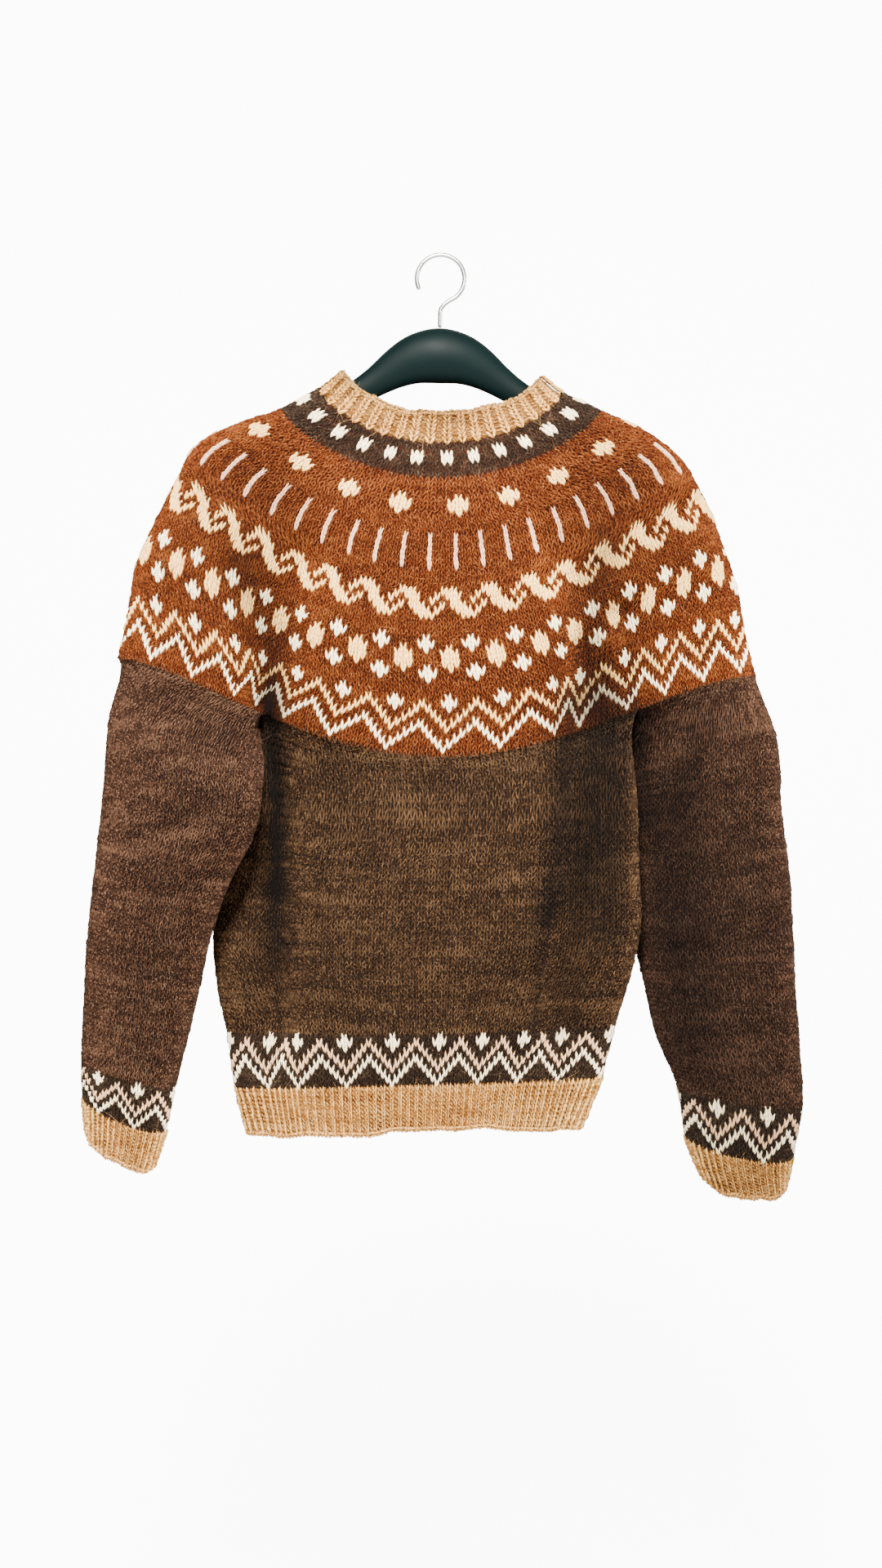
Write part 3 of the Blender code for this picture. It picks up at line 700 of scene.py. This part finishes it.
def sort_by_yarn(bands, tube, unevenness):
    """The stitches of some bands, gathered by the yarn they are knitted with."""
    found = {}
    for first, last, stitches, ground, chart, start in bands:
        for row in range(first, last + 1):
            laid = lay_stitches(tube, row, stitches, unevenness)
            yarn = np.full(stitches, ground, "U8")
            if chart:
                below = row - first if tube.upward else last - row
                marks = np.array(list(chart.split()[-1 - below]))
                marks = marks[(np.arange(stitches) - start) % len(marks)]
                for mark, name in MARKS.items():
                    yarn[marks == mark] = name
            laid["place"] += laid["out"] * unevenness.normal(0, STITCH_STRAY, stitches)[:, None]
            for name in map(str, np.unique(yarn)):
                own = {key: value[yarn == name] for key, value in laid.items()}
                own["size"][:, 0] *= BRIGHT_WIDTH.get(name, 1.0)
                found.setdefault(name, []).append(own)
    return {name: joined(parts) for name, parts in found.items()}


def lay_rib(tube, rows, pairs, unevenness):
    """A rib of one knit and one purl stitch, laid in pairs."""
    parts = []
    sway = unevenness.normal(0, RIB_STRAY, pairs)
    for row in rows:
        laid = lay_stitches(tube, row, pairs, unevenness)
        laid["place"] += laid["out"] * (sway + unevenness.normal(0, PAIR_STRAY, pairs))[:, None]
        parts.append(laid)
    return joined(parts)


def lay_edge(tube, row, count, unevenness):
    """The cast-off chain along an edge: loops facing out, and loops over the top of it."""
    shares, half = middles(count)
    place, out = tube.read(tube.places, row, shares), tube.read(tube.out, row, shares)
    away = unit(place - tube.read(tube.places, row - 1, shares))
    wide = tube.width(row, shares - half, shares + half)
    parts = []
    for turn, rise in ((0.15, -0.0014), (1.1, 0), (2.4, -0.0008)):
        face = out * math.cos(turn) + away * math.sin(turn)
        middle = place - out * LOOP_SINK + away * rise
        middle += face * unevenness.normal(0, LOOP_STRAY, count)[:, None]
        loose = unevenness.uniform(1.0, 1.25, count)
        parts.append({"place": middle, "out": face,
                      "up": away * math.cos(turn) - out * math.sin(turn),
                      "size": sized(wide * loose, LOOP_TALL, LEG_HEIGHT),
                      "hollow": tube.read(tube.hollow, row, shares)[:, 0],
                      "tone": row_tones(count, unevenness)})
    return joined(parts)


# ---- materials ----

def feed(tree, node, inputs):
    """Sets or links a node's inputs, by name or number."""
    for name, value in inputs.items():
        if isinstance(value, bpy.types.NodeSocket):
            tree.links.new(value, node.inputs[name])
        else:
            node.inputs[name].default_value = value


def add_node(tree, kind, inputs=None, **settings):
    node = tree.nodes.new(kind)
    for name, value in settings.items():
        setattr(node, name, value)
    feed(tree, node, inputs or {})
    return node


def add(tree, kind, inputs=None, output=0, **settings):
    """One output of a new node."""
    return add_node(tree, kind, inputs, **settings).outputs[output]


def maths(tree, operation, first, second=0.0):
    return add(tree, "ShaderNodeMath", {0: first, 1: second}, operation=operation)


def vectors(tree, operation, first, second):
    """Two vectors taken together, or a vector and the number that scales it."""
    inputs = {0: first, "Scale" if operation == "SCALE" else 1: second}
    return add(tree, "ShaderNodeVectorMath", inputs, operation=operation)


def blended(tree, share, first, second):
    return add(tree, "ShaderNodeMix", {0: share, 6: first, 7: second}, 2, data_type="RGBA")


def noise(tree, place, scale, detail, roughness=0.5):
    inputs = {"Vector": place, "Scale": scale, "Detail": detail, "Roughness": roughness}
    return add(tree, "ShaderNodeTexNoise", inputs)


def ranged(tree, value, low, high):
    """A share from 0 to 1 brought between two values."""
    return add(tree, "ShaderNodeMapRange", {0: value, 3: low, 4: high})


def bumped(tree, height, distance, strength):
    inputs = {"Height": height, "Distance": distance, "Strength": strength}
    return add(tree, "ShaderNodeBump", inputs)


def object_place(tree):
    return add(tree, "ShaderNodeTexCoord", output="Object")


def new_group(name, kind, inputs, outputs):
    """An empty node group with named sockets: its tree, its inputs and its end node."""
    tree = bpy.data.node_groups.new(name, kind)
    for way, sockets in (("INPUT", inputs), ("OUTPUT", outputs)):
        for socket, (sort, *value) in sockets.items():
            made = tree.interface.new_socket(socket, in_out=way, socket_type="NodeSocket" + sort)
            if value:
                made.default_value = value[0]
    return tree, tree.nodes.new("NodeGroupInput").outputs, tree.nodes.new("NodeGroupOutput")


def spun_wool_group():
    """Loose spun wool: its colour with painted shade in its gaps and folds, and the height of its
    fibres, along the yarn's own map.
    """
    sockets = dict.fromkeys(("Colour", "Pale fibres", "Deep fibres", "Gap shade"), ("Color",))
    sockets |= {"Pale share": ("Float", 0.3), "Stitch contrast": ("Float", 0.3)}
    tree, inputs, end = new_group("spun_wool", "ShaderNodeTree", sockets,
                                  {"Colour": ("Color",), "Height": ("Float",)})
    plus, minus, times, power, most, least = (
        partial(maths, tree, operation)
        for operation in ("ADD", "SUBTRACT", "MULTIPLY", "POWER", "MAXIMUM", "MINIMUM"))
    contrast = inputs["Stitch contrast"]
    along = add(tree, "ShaderNodeUVMap", uv_map="yarn")
    own, depth, hollow = (add(tree, "ShaderNodeAttribute", output="Fac", attribute_name=name)
                          for name in ("tone", "depth", "hollow"))
    place = object_place(tree)
    stretched = vectors(tree, "MULTIPLY", along, (9.0, 1.6, 0.0))
    shifted = add(tree, "ShaderNodeCombineXYZ", {"Z": times(own, 57.0)})
    fibre = noise(tree, vectors(tree, "ADD", stretched, shifted), 1.6, 3.0, 0.65)
    flecks = noise(tree, place, 560.0, 2.0, 0.7)
    slow = noise(tree, vectors(tree, "MULTIPLY", place, (0.4, 0.4, 2.4)), 34.0, 4.0)
    edge = minus(0.64, times(inputs["Pale share"], 0.4))
    pale = add(tree, "ShaderNodeMapRange", {
        0: plus(times(fibre, 0.35), times(flecks, 0.65)), 1: edge, 2: plus(edge, 0.08)})
    dark = add(tree, "ShaderNodeMapRange", {0: flecks, 1: 0.48, 2: 0.38})
    mottle = times(minus(slow, 0.5), 1.3)
    tone = plus(times(minus(own, 0.5), contrast), times(mottle, contrast))
    specks = times(dark, least(times(contrast, 1.6), 0.85))
    deep = most(most(times(tone, -1.3), 0.0), specks)
    colour = blended(tree, deep, inputs["Colour"], inputs["Deep fibres"])
    colour = blended(tree, most(times(tone, 0.8), 0.0), colour, inputs["Pale fibres"])
    colour = blended(tree, times(pale, 0.75), colour, inputs["Pale fibres"])
    # painted shade in the gaps between legs and at their ends, from the form's depth
    colour = blended(tree, times(power(depth, 1.7), 0.92), colour, inputs["Gap shade"])
    # painted shade: darker towards black where the wool lies in a fold or out of the light
    colour = blended(tree, hollow, colour, (0.0, 0.0, 0.0, 1))
    feed(tree, end, {"Colour": colour, "Height": plus(fibre, times(flecks, 0.5))})
    return tree


def new_material(name):
    material = bpy.data.materials.new(name)
    material.use_nodes = True
    return material, material.node_tree, material.node_tree.nodes["Principled BSDF"]


def wool_material(name, spun_wool, yarn, shades, relief, looks):
    """Spun wool in its shades: its colour, its pale and deep fibres, and the painted shade of the
    gaps in it.
    """
    material, tree, shader = new_material(name)
    colours = zip(("Colour", "Pale fibres", "Deep fibres", "Gap shade"), shades)
    inputs = {socket: (*shade, 1) for socket, shade in colours}
    inputs |= {"Pale share": yarn[3], "Stitch contrast": yarn[4]}
    wool = add_node(tree, "ShaderNodeGroup", inputs, node_tree=spun_wool).outputs
    feed(tree, shader, {"Base Color": wool["Colour"],
                        "Normal": bumped(tree, wool["Height"], *relief), **looks})
    return material


def darker(colour, share):
    return tuple(value * share for value in colour)


def yarn_material(name, spun_wool):
    yarn = (YARNS | FUZZ_YARNS)[name]
    pale, deep = yarn[1:3]
    # the gaps between legs get a painted shade, darker than the deep fibres
    gap_shade = darker(deep, BRIGHT_GAP_SHADE if name in BRIGHT_WIDTH else DARK_GAP_SHADE)
    return wool_material(name + " yarn", spun_wool, yarn, (*yarn[:3], gap_shade), (0.0004, 0.7), {
        "Roughness": 0.95, "Specular IOR Level": 0.08, "Sheen Weight": 0.06,
        "Sheen Roughness": 0.45, "Sheen Tint": (*pale, 1)})


def cloth_material(name, spun_wool):
    """The cloth between the stitches, darkened as painted shade, and the purl side inside."""
    yarn = YARNS[name]
    shades = [darker(yarn[k], CLOTH_PAINTED_SHADE) for k in (0, 0, 2)]
    return wool_material(name + " cloth", spun_wool, yarn, shades, (0.001, 0.8),
                         {"Roughness": 1.0, "Specular IOR Level": 0.1})


# ---- stitches ----

def knitting_tree():
    """Lays a form at every point, facing its "out", climbing along its "up", at its size."""
    tree, inputs, end = new_group("lay_stitches", "GeometryNodeTree", {
        "Geometry": ("Geometry",), "Form": ("Object",), "Wobble": ("Float", 0.06),
        "Size spread": ("Float", 0.05), "Seed": ("Int", 1), "Yarn": ("Material",),
    }, {"Geometry": ("Geometry",)})

    def named(name):
        return add(tree, "GeometryNodeInputNamedAttribute", {"Name": name}, "Attribute",
                   data_type="FLOAT_VECTOR")

    def either_way(middle, reach, seed):
        return add(tree, "FunctionNodeRandomValue", {
            2: maths(tree, "SUBTRACT", middle, reach), 3: maths(tree, "ADD", middle, reach),
            "Seed": seed}, 1, data_type="FLOAT")

    turn = add(tree, "FunctionNodeAxesToRotation", {0: named("out"), 1: named("up")},
               primary_axis="Z", secondary_axis="Y")
    form = add(tree, "GeometryNodeObjectInfo", {"Object": inputs["Form"]}, "Geometry")
    spread = either_way(1.0, inputs["Size spread"], inputs["Seed"])
    laid = add(tree, "GeometryNodeInstanceOnPoints", {
        "Points": inputs["Geometry"], "Instance": form, "Rotation": turn,
        "Scale": vectors(tree, "SCALE", named("size"), spread)})
    wobble = either_way(0.0, inputs["Wobble"], maths(tree, "ADD", inputs["Seed"], 7.0))
    angles = add(tree, "ShaderNodeCombineXYZ", {"Z": wobble})
    laid = add(tree, "GeometryNodeRotateInstances", {"Instances": laid, "Rotation": angles})
    real = add(tree, "GeometryNodeRealizeInstances", {"Geometry": laid})
    # Each stitch has its own cell of the piece's OFBake map: a corner and a size.
    cell = add_node(tree, "ShaderNodeSeparateXYZ", {0: named("cell")}).outputs
    corner = add(tree, "ShaderNodeCombineXYZ", {0: cell[0], 1: cell[1]})
    on_piece = vectors(tree, "ADD", vectors(tree, "SCALE", named("yarn"), cell[2]), corner)
    kept = add(tree, "GeometryNodeStoreNamedAttribute", {
        "Geometry": real, "Name": "OFBake", "Value": on_piece}, data_type="FLOAT2", domain="CORNER")
    done = add(tree, "GeometryNodeSetMaterial", {"Geometry": kept, "Material": inputs["Yarn"]})
    feed(tree, end, {"Geometry": done})
    return tree


def add_object(name, data):
    made = bpy.data.objects.new(name, data)
    bpy.context.scene.collection.objects.link(made)
    return made


def new_piece(name, points, faces, marks=None, material=None):
    """A smooth piece from its points and faces, with a place on the yarn for every corner."""
    mesh = bpy.data.meshes.new(name)
    mesh.from_pydata(points, [], faces)
    if marks:
        mesh.uv_layers.new(name="yarn").data.foreach_set("uv", np.array(marks).ravel())
    if material:
        mesh.materials.append(material)
    mesh.shade_smooth()
    return add_object(name, mesh)


def store(mesh, **values):
    """Numbers or vectors kept on a mesh's points."""
    for key, own in values.items():
        kind, field = ("FLOAT_VECTOR", "vector") if np.ndim(own) == 2 else ("FLOAT", "value")
        mesh.attributes.new(key, kind, "POINT").data.foreach_set(field, np.ravel(own))


def form_piece(name, legs):
    """A form of yarn legs. Each leg is a row of (x, y, z, half width) from end to end."""
    points, faces, marks, depths = [], [], [], []
    for number, leg in enumerate(legs):
        rings = []
        for k, (x, y, z, half) in enumerate(leg):
            if half == 0:
                rings.append([len(points)])
                points.append((x, y, z))
                depths.append(1.0)
                continue
            before, after = leg[k - 1], leg[k + 1]
            way = np.array([after[0] - before[0], after[1] - before[1]])
            side = np.array([way[1], -way[0]]) / np.linalg.norm(way) * half
            base = z * 0.25 - 0.1
            rings.append(list(range(len(points), len(points) + 3)))
            points += [(x - side[0], y - side[1], base), (x, y, z),
                       (x + side[0], y + side[1], base)]
            depths += [1.0, max(0.0, 1.0 - z), 1.0]
        left, width = number / len(legs), 1 / len(legs)

        def mark(ring, column):
            across = 0.5 if len(rings[ring]) == 1 else column / 2
            return (left + width * (0.1 + 0.8 * across), 0.05 + 0.9 * ring / (len(leg) - 1))

        for k, (low, high) in enumerate(zip(rings, rings[1:])):
            for c in (0, 1):
                if len(low) == 1:
                    own = [(k, 0), (k + 1, c + 1), (k + 1, c)]
                elif len(high) == 1:
                    own = [(k, c), (k, c + 1), (k + 1, 0)]
                else:
                    own = [(k, c), (k, c + 1), (k + 1, c + 1), (k + 1, c)]
                faces.append([rings[ring][column] for ring, column in own])
                marks += [mark(*m) for m in own]
    made = new_piece(name, points, faces, marks)
    # how deep each point lies, which the material darkens as painted shade in the gaps
    store(made.data, depth=depths)
    return made


def legs_of(name):
    legs = [leg for leg, in LEGS[name]]
    if name.endswith("_stitch"):
        legs += [[(-x, y, z, half) for x, y, z, half in leg] for leg in legs]
    return legs


# Each form's legs, from end to end: X across the stitch, Y up it, Z out of it and the half
# width, in thousandths of its size. A single stitch has a second leg, the first mirrored.
LEGS = listed("""
knit_stitch 30,-450,-200,0 150,50,1000,165 360,850,950,155 490,1420,-300,0
bright_stitch 30,-680,-100,0 170,0,1240,255 380,950,1200,245 510,1620,-200,0
rib_pair 30,-400,0,0 -40,100,750,110 -170,800,650,105 -280,1300,0,0
rib_pair 130,-600,300,0 150,0,1650,95 170,800,1650,95 180,1500,300,0
rib_pair 300,1000,-200,0 400,600,450,130 560,200,450,130 680,-250,-200,0
neck_pair -150,-550,200,0 -240,50,1650,105 -360,850,1450,100 -440,1350,100,0
neck_pair -140,-600,200,0 -50,0,1750,110 70,850,1550,105 160,1450,100,0
neck_pair 170,550,-300,0 260,720,420,200 420,660,380,190 540,450,-300,0
edge_loop -700,-250,-100,0 -280,-50,1000,340 280,50,1000,340 700,250,-100,0
""")


def lay(name, stitches, form, yarn, tree, seed, wobble=0.11):
    """One piece of plain mesh: a form laid at every stitch."""
    count = len(stitches["place"])
    mesh = bpy.data.meshes.new(name + "_places")
    mesh.from_pydata(stitches["place"].tolist(), [], [])
    side = math.ceil(math.sqrt(count))
    index = np.arange(count)
    cell = sized(index % side / side, index // side / side, 1 / side)
    store(mesh, cell=cell, **{key: own for key, own in stitches.items() if key != "place"})
    maker = add_object(name + "_maker", mesh)
    modifier = maker.modifiers.new("knitting", "NODES")
    modifier.node_group = tree
    values = {"Form": form, "Wobble": wobble, "Size spread": 0.09, "Seed": seed, "Yarn": yarn}
    for item in tree.interface.items_tree:
        if item.in_out == "INPUT" and item.name in values:
            modifier[item.identifier] = values[item.name]
    depsgraph = bpy.context.evaluated_depsgraph_get()
    result = bpy.data.meshes.new_from_object(maker.evaluated_get(depsgraph), depsgraph=depsgraph)
    result.name = name
    bpy.data.objects.remove(maker)
    bpy.data.meshes.remove(mesh)
    for key in ("out", "up", "size", "cell"):
        if key in result.attributes:
            result.attributes.remove(result.attributes[key])
    return add_object(name, result)


# ---- the plain cloth behind the stitches ----

def cloth_piece(name, tube, first, last, material):
    """The plain wall between two rows, sunk below the stitches."""
    rows = sorted({*range(first, last, CLOTH_STEP), last})
    every = AROUND // CLOTH_AROUND
    places = (tube.places - tube.out * CLOTH_SINK)[rows][:, ::every]
    faces, marks = [], []
    for r in range(len(rows) - 1):
        for c in range(CLOTH_AROUND):
            own = [(c, r), (c + 1, r), (c + 1, r + 1), (c, r + 1)]
            if not tube.upward:
                own = own[::-1]
            faces.append([b * CLOTH_AROUND + a % CLOTH_AROUND for a, b in own])
            marks += [(a / CLOTH_AROUND, b / (len(rows) - 1)) for a, b in own]
    made = new_piece(name, places.reshape(-1, 3).tolist(), faces, marks, material)
    # the painted shade of its places
    store(made.data, hollow=tube.hollow[rows][:, ::every].ravel())
    wall = made.modifiers.new("wall", "SOLIDIFY")
    wall.thickness = CLOTH_WALL
    wall.offset = -1
    return made


# ---- the fuzz ----

def fibre_piece(name, bend):
    """A hair as a narrow ribbon that rises along Y and bends over."""
    steps = 3
    shares = [k / steps for k in range(steps)]
    points, faces, marks = [], [], []
    for f in shares:
        half = 0.5 * FIBRE_THIN * (1 - 0.4 * f)
        x, z = bend * math.sin(2.6 * f) * 0.30, bend * f * f * 0.35
        points += [(x - half, f, z), (x + half, f, z)]
    points.append((bend * math.sin(2.6) * 0.30, 1.0, bend * 0.35))
    for k, (f, g) in enumerate(zip(shares, shares[1:])):
        faces.append([2 * k, 2 * k + 1, 2 * k + 3, 2 * k + 2])
        marks += [(0.1, f), (0.9, f), (0.9, g), (0.1, g)]
    faces.append([2 * steps - 2, 2 * steps - 1, 2 * steps])
    marks += [(0.1, shares[-1]), (0.9, shares[-1]), (0.5, 1.0)]
    return new_piece(name, points, faces, marks)


def lay_fuzz(tube, first, last, count, length, stand, unevenness):
    """Hairs on a stretch of a tube: how many, a typical length, how far they stand up."""
    rows = first + (last - first) * unevenness.random(count)
    low = np.clip(rows.astype(int), first, last - 1)
    f = (rows - low)[:, None]
    step = (unevenness.random(count) * AROUND).astype(int) % AROUND
    place = tube.places[low, step] * (1 - f) + tube.places[low + 1, step] * f
    out = tube.out[low, step]
    any_way = unevenness.normal(size=(count, 3))
    along = unit(any_way - out * (any_way * out).sum(axis=1, keepdims=True))
    lift = (stand * unevenness.random(count))[:, None]
    long = length * unevenness.lognormal(0, 0.35, count)
    return {"place": place + out * FIBRE_ROOT, "out": out,
            "up": unit(along * (1 - lift) + out * lift),
            "tone": unevenness.random(count), "hollow": tube.hollow[low, step, 0],
            "size": sized(FIBRE_UNIT, long, long * 0.6)}


# ---- the hanger ----

def swept(name, line, halves, thickness, around, ridge, material):
    """A closed rounded form along a line of (x, z), from its half heights and its width to
    height, with a seam's low ridge along its top and underside."""
    line, halves = np.array(line), np.array(halves)
    way = unit(np.gradient(line, axis=0))
    caps = [(math.sin(a), math.cos(a)) for a in (0.35, 0.75, 1.1, 1.4)]

    def cap(end, side):
        reach = side * way[end] * halves[end]
        return [(line[end] + reach * out * 0.6, way[end], halves[end] * share)
                for out, share in caps[::side]]

    stations = [*cap(0, -1), *zip(line, way, halves), *cap(-1, 1)]
    angles = 2 * math.pi * np.arange(around) / around
    seam = 1 + ridge * np.exp(-(np.cos(angles) / 0.10) ** 2)
    points = []
    for (x, z), (dx, dz), half in stations:
        for a, swell in zip(angles, seam):
            rise = half * math.sin(a) * swell
            points.append((x - dz * rise, half * thickness * math.cos(a), z + dx * rise))
    last = (len(stations) - 1) * around
    faces = [[k + c, k + around + c, k + around + (c + 1) % around, k + (c + 1) % around]
             for k in range(0, last, around) for c in range(around)]
    faces += [list(range(around)), [last + c for c in range(around)][::-1]]
    made = new_piece(name, points, faces, material=material)
    made.data.transform(Matrix.Rotation(HANGER_LEAN, 4, "Y"))
    return made


def plastic_material():
    """Dark moulded plastic with a fine dull grain."""
    material, tree, shader = new_material("dark moulded plastic")
    place = object_place(tree)
    wear = noise(tree, place, 30.0, 3.0)
    feed(tree, shader, {
        "Base Color": blended(tree, wear, (0.0008, 0.0034, 0.0033, 1), (0.0014, 0.0048, 0.0046, 1)),
        "Roughness": ranged(tree, wear, 0.42, 0.60), "Specular IOR Level": 0.04,
        "Normal": bumped(tree, noise(tree, place, 900.0, 2.0), 0.0001, 0.3)})
    return material


def steel_material():
    """Bright drawn wire, finely scratched along its length."""
    material, tree, shader = new_material("drawn steel wire")
    scratch = noise(tree, object_place(tree), 700.0, 3.0)
    feed(tree, shader, {"Base Color": (0.42, 0.42, 0.41, 1), "Metallic": 1.0,
                        "Roughness": ranged(tree, scratch, 0.18, 0.38)})
    return material


def add_hanger():
    """The moulded arms and hub, and the steel hook whose inner top is the origin."""
    stations, blend = 181, np.hanning(15)
    reach = np.linspace(-HANGER["x"][-1], HANGER["x"][-1], stations)
    soft = blend / blend.sum()

    def eased(values):
        wide = np.pad(np.interp(np.abs(reach), HANGER["x"], values), len(soft) // 2, "edge")
        return np.convolve(wide, soft, "valid")

    arms = swept("hanger_arms", np.stack([reach, eased(HANGER["z"])], axis=1),
                 eased(HANGER["half_height"]), HANGER_THICKNESS, around=48, ridge=0.018,
                 material=plastic_material())
    declare(arms, "hanger", slot="moulded_plastic")
    middle = HOOK_WIRE - HOOK_RADIUS
    turns = np.radians(np.linspace(*HOOK_TURNS, 70))
    loop = [(HOOK_RADIUS * math.cos(a), middle + HOOK_RADIUS * math.sin(a)) for a in turns]
    (side, height), stem_top = loop[0], loop[0][1] - loop[0][0]
    hub_top = HANGER["z"][0] + HANGER["half_height"][0] + STEM_GAP
    stem = [(0, z) for z in np.linspace(hub_top, stem_top, 12)]
    bend = [(side * f ** 2, stem_top + (height - stem_top) * f) for f in (0.25, 0.5, 0.75)]
    line = [*stem, *bend, *loop]
    hook = swept("hanger_hook_wire", line, [HOOK_WIRE] * len(line), 1.0, around=20, ridge=0,
                 material=steel_material())
    declare(hook, "hanger_hook", slot="steel_wire")


# ---- putting it together ----

def declare(piece, *nodes, slot):
    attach(piece, "root")
    if nodes:
        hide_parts(*nodes)


def main():
    unevenness = np.random.default_rng(7)
    spun_wool = spun_wool_group()
    yarns = {name: yarn_material(name, spun_wool) for name in YARNS | FUZZ_YARNS}
    cloths = {name: cloth_material(name, spun_wool) for name in ("rust", "brown", "camel")}
    tree = knitting_tree()
    forms = {name: form_piece(name, legs_of(name)) for name in LEGS}
    fibres = [fibre_piece("fibre_one", 0.5), fibre_piece("fibre_two", -0.9)]
    sheets = {}
    for node, tube, first, last, wool, *_ in PIECES:
        name = node.removesuffix("_rib") + "_cloth"
        sheets[node] = cloth_piece(name, TUBES[tube], first, last, cloths[wool])
    on_piece = {node: [] for node in sheets}

    def add_knitting(node, name, stitches, form, yarn, seed, **settings):
        made = lay(f"{node}_{name}", stitches, form, yarns[yarn], tree, seed, **settings)
        declare(made, slot=WOOL_SLOTS.get(yarn.removesuffix(" fuzz"), "camel_wool"))
        on_piece[node].append(made)

    for node, tube, bands in BANDS:
        by_yarn = sort_by_yarn(bands, TUBES[tube], unevenness)
        for number, (yarn, stitches) in enumerate(sorted(by_yarn.items())):
            form = forms["bright_stitch" if yarn in BRIGHT_WIDTH else "knit_stitch"]
            add_knitting(node, yarn + "_stitches", stitches, form, yarn, number + 1)
    for node, tube, first, last, _, stitches, _, _ in PIECES:
        if stitches:
            pairs = lay_rib(TUBES[tube], range(first, last), stitches // 2, unevenness)
            chain = lay_edge(TUBES[tube], last, stitches, unevenness)
            form = forms["neck_pair" if node == "neckband" else "rib_pair"]
            add_knitting(node, "rib", pairs, form, "camel", RIB_SEED, wobble=RIB_WOBBLE)
            add_knitting(node, "edge", chain, forms["edge_loop"], "camel", RIB_SEED,
                         wobble=RIB_WOBBLE)
    for number, (node, tube, yarn, first, last, short, long) in enumerate(FUZZ):
        hairs = joined([lay_fuzz(TUBES[tube], first, last, *hair, unevenness)
                        for hair in ((short, *SHORT_HAIR), (long, *LONG_HAIR))])
        add_knitting(node, f"hairs_{number}", hairs, fibres[number % 2], yarn,
                     HAIR_SEED + number, wobble=HAIR_WOBBLE)

    for node, _, _, _, wool, _, flat, area in PIECES:
        sheet = sheets[node]
        declare(sheet, node, slot=wool + "_wool")
    add_hanger()
    for form in (*forms.values(), *fibres):
        bpy.data.objects.remove(form)


# ---- the scene ----

def add_area_light(name, place, size, power, colour):
    light = bpy.data.lights.new(name, "AREA")
    light.shape, light.size, light.energy, light.color = "DISK", size, power, colour
    made = add_object(name, light)
    made.location = place
    made.rotation_euler = (Vector(LIGHT_AIM) - Vector(place)).to_track_quat("-Z", "Y").to_euler()
    made.visible_camera = False


def glow(tree, lit):
    """A pale glow for the camera, and a softer one that lights the pullover."""
    seen = add(tree, "ShaderNodeLightPath", output="Is Camera Ray")
    return ranged(tree, seen, lit, 9.0)


def add_stage():
    """A pale floor that sweeps up into a pale wall, which is clear from its back."""
    wide, near_edge, far, height, bend = 7.0, -4.0, 2.4, 5.0, 1.2
    floor_z = -1.45
    turns = np.linspace(0.1, math.pi / 2, 14)
    profile = [(near_edge, floor_z), (far - bend, floor_z)]
    profile += [(far - bend + bend * math.sin(a), floor_z + bend * (1 - math.cos(a)))
                for a in turns]
    profile.append((far, height))
    points = [(x, y, z) for y, z in profile for x in (-wide, wide)]
    faces = [[2 * k, 2 * k + 1, 2 * k + 3, 2 * k + 2] for k in range(len(profile) - 1)]
    material, tree, shader = new_material("studio paper")
    paper = add(tree, "ShaderNodeTexNoise", {"Scale": 3.0, "Detail": 3.0})
    feed(tree, shader, {
        "Base Color": ranged(tree, paper, 0.93, 0.96), "Roughness": 0.9,
        "Emission Color": (1, 1, 1, 1), "Emission Strength": glow(tree, 0.5)})
    behind = add(tree, "ShaderNodeNewGeometry", output="Backfacing")
    clear = add(tree, "ShaderNodeBsdfTransparent")
    either = add(tree, "ShaderNodeMixShader", {0: behind, 1: shader.outputs[0], 2: clear})
    feed(tree, tree.nodes["Material Output"], {"Surface": either})
    new_piece("studio_sweep", points, faces, material=material)


def add_camera():
    camera = bpy.data.cameras.new("front_view")
    camera.lens = 57.3
    camera.clip_end = 50
    made = add_object("front_view", camera)
    made.location = (0, -2.2, -0.4644)
    made.rotation_euler = (math.pi / 2, 0, 0)
    bpy.context.scene.camera = made


def add_lights():
    world = bpy.data.worlds.new("studio air")
    world.use_nodes = True
    tree = world.node_tree
    feed(tree, tree.nodes["Background"], {"Color": (1, 1, 1, 1), "Strength": glow(tree, 0.42)})
    bpy.context.scene.world = world
    add_area_light("key", (-0.12, -1.95, 1.00), 0.55, 415, (1.0, 0.975, 0.94))
    add_area_light("side", (2.0, -0.7, 0.1), 0.9, 75, (1.0, 0.98, 0.96))


main()
add_stage()
add_camera()
add_lights()
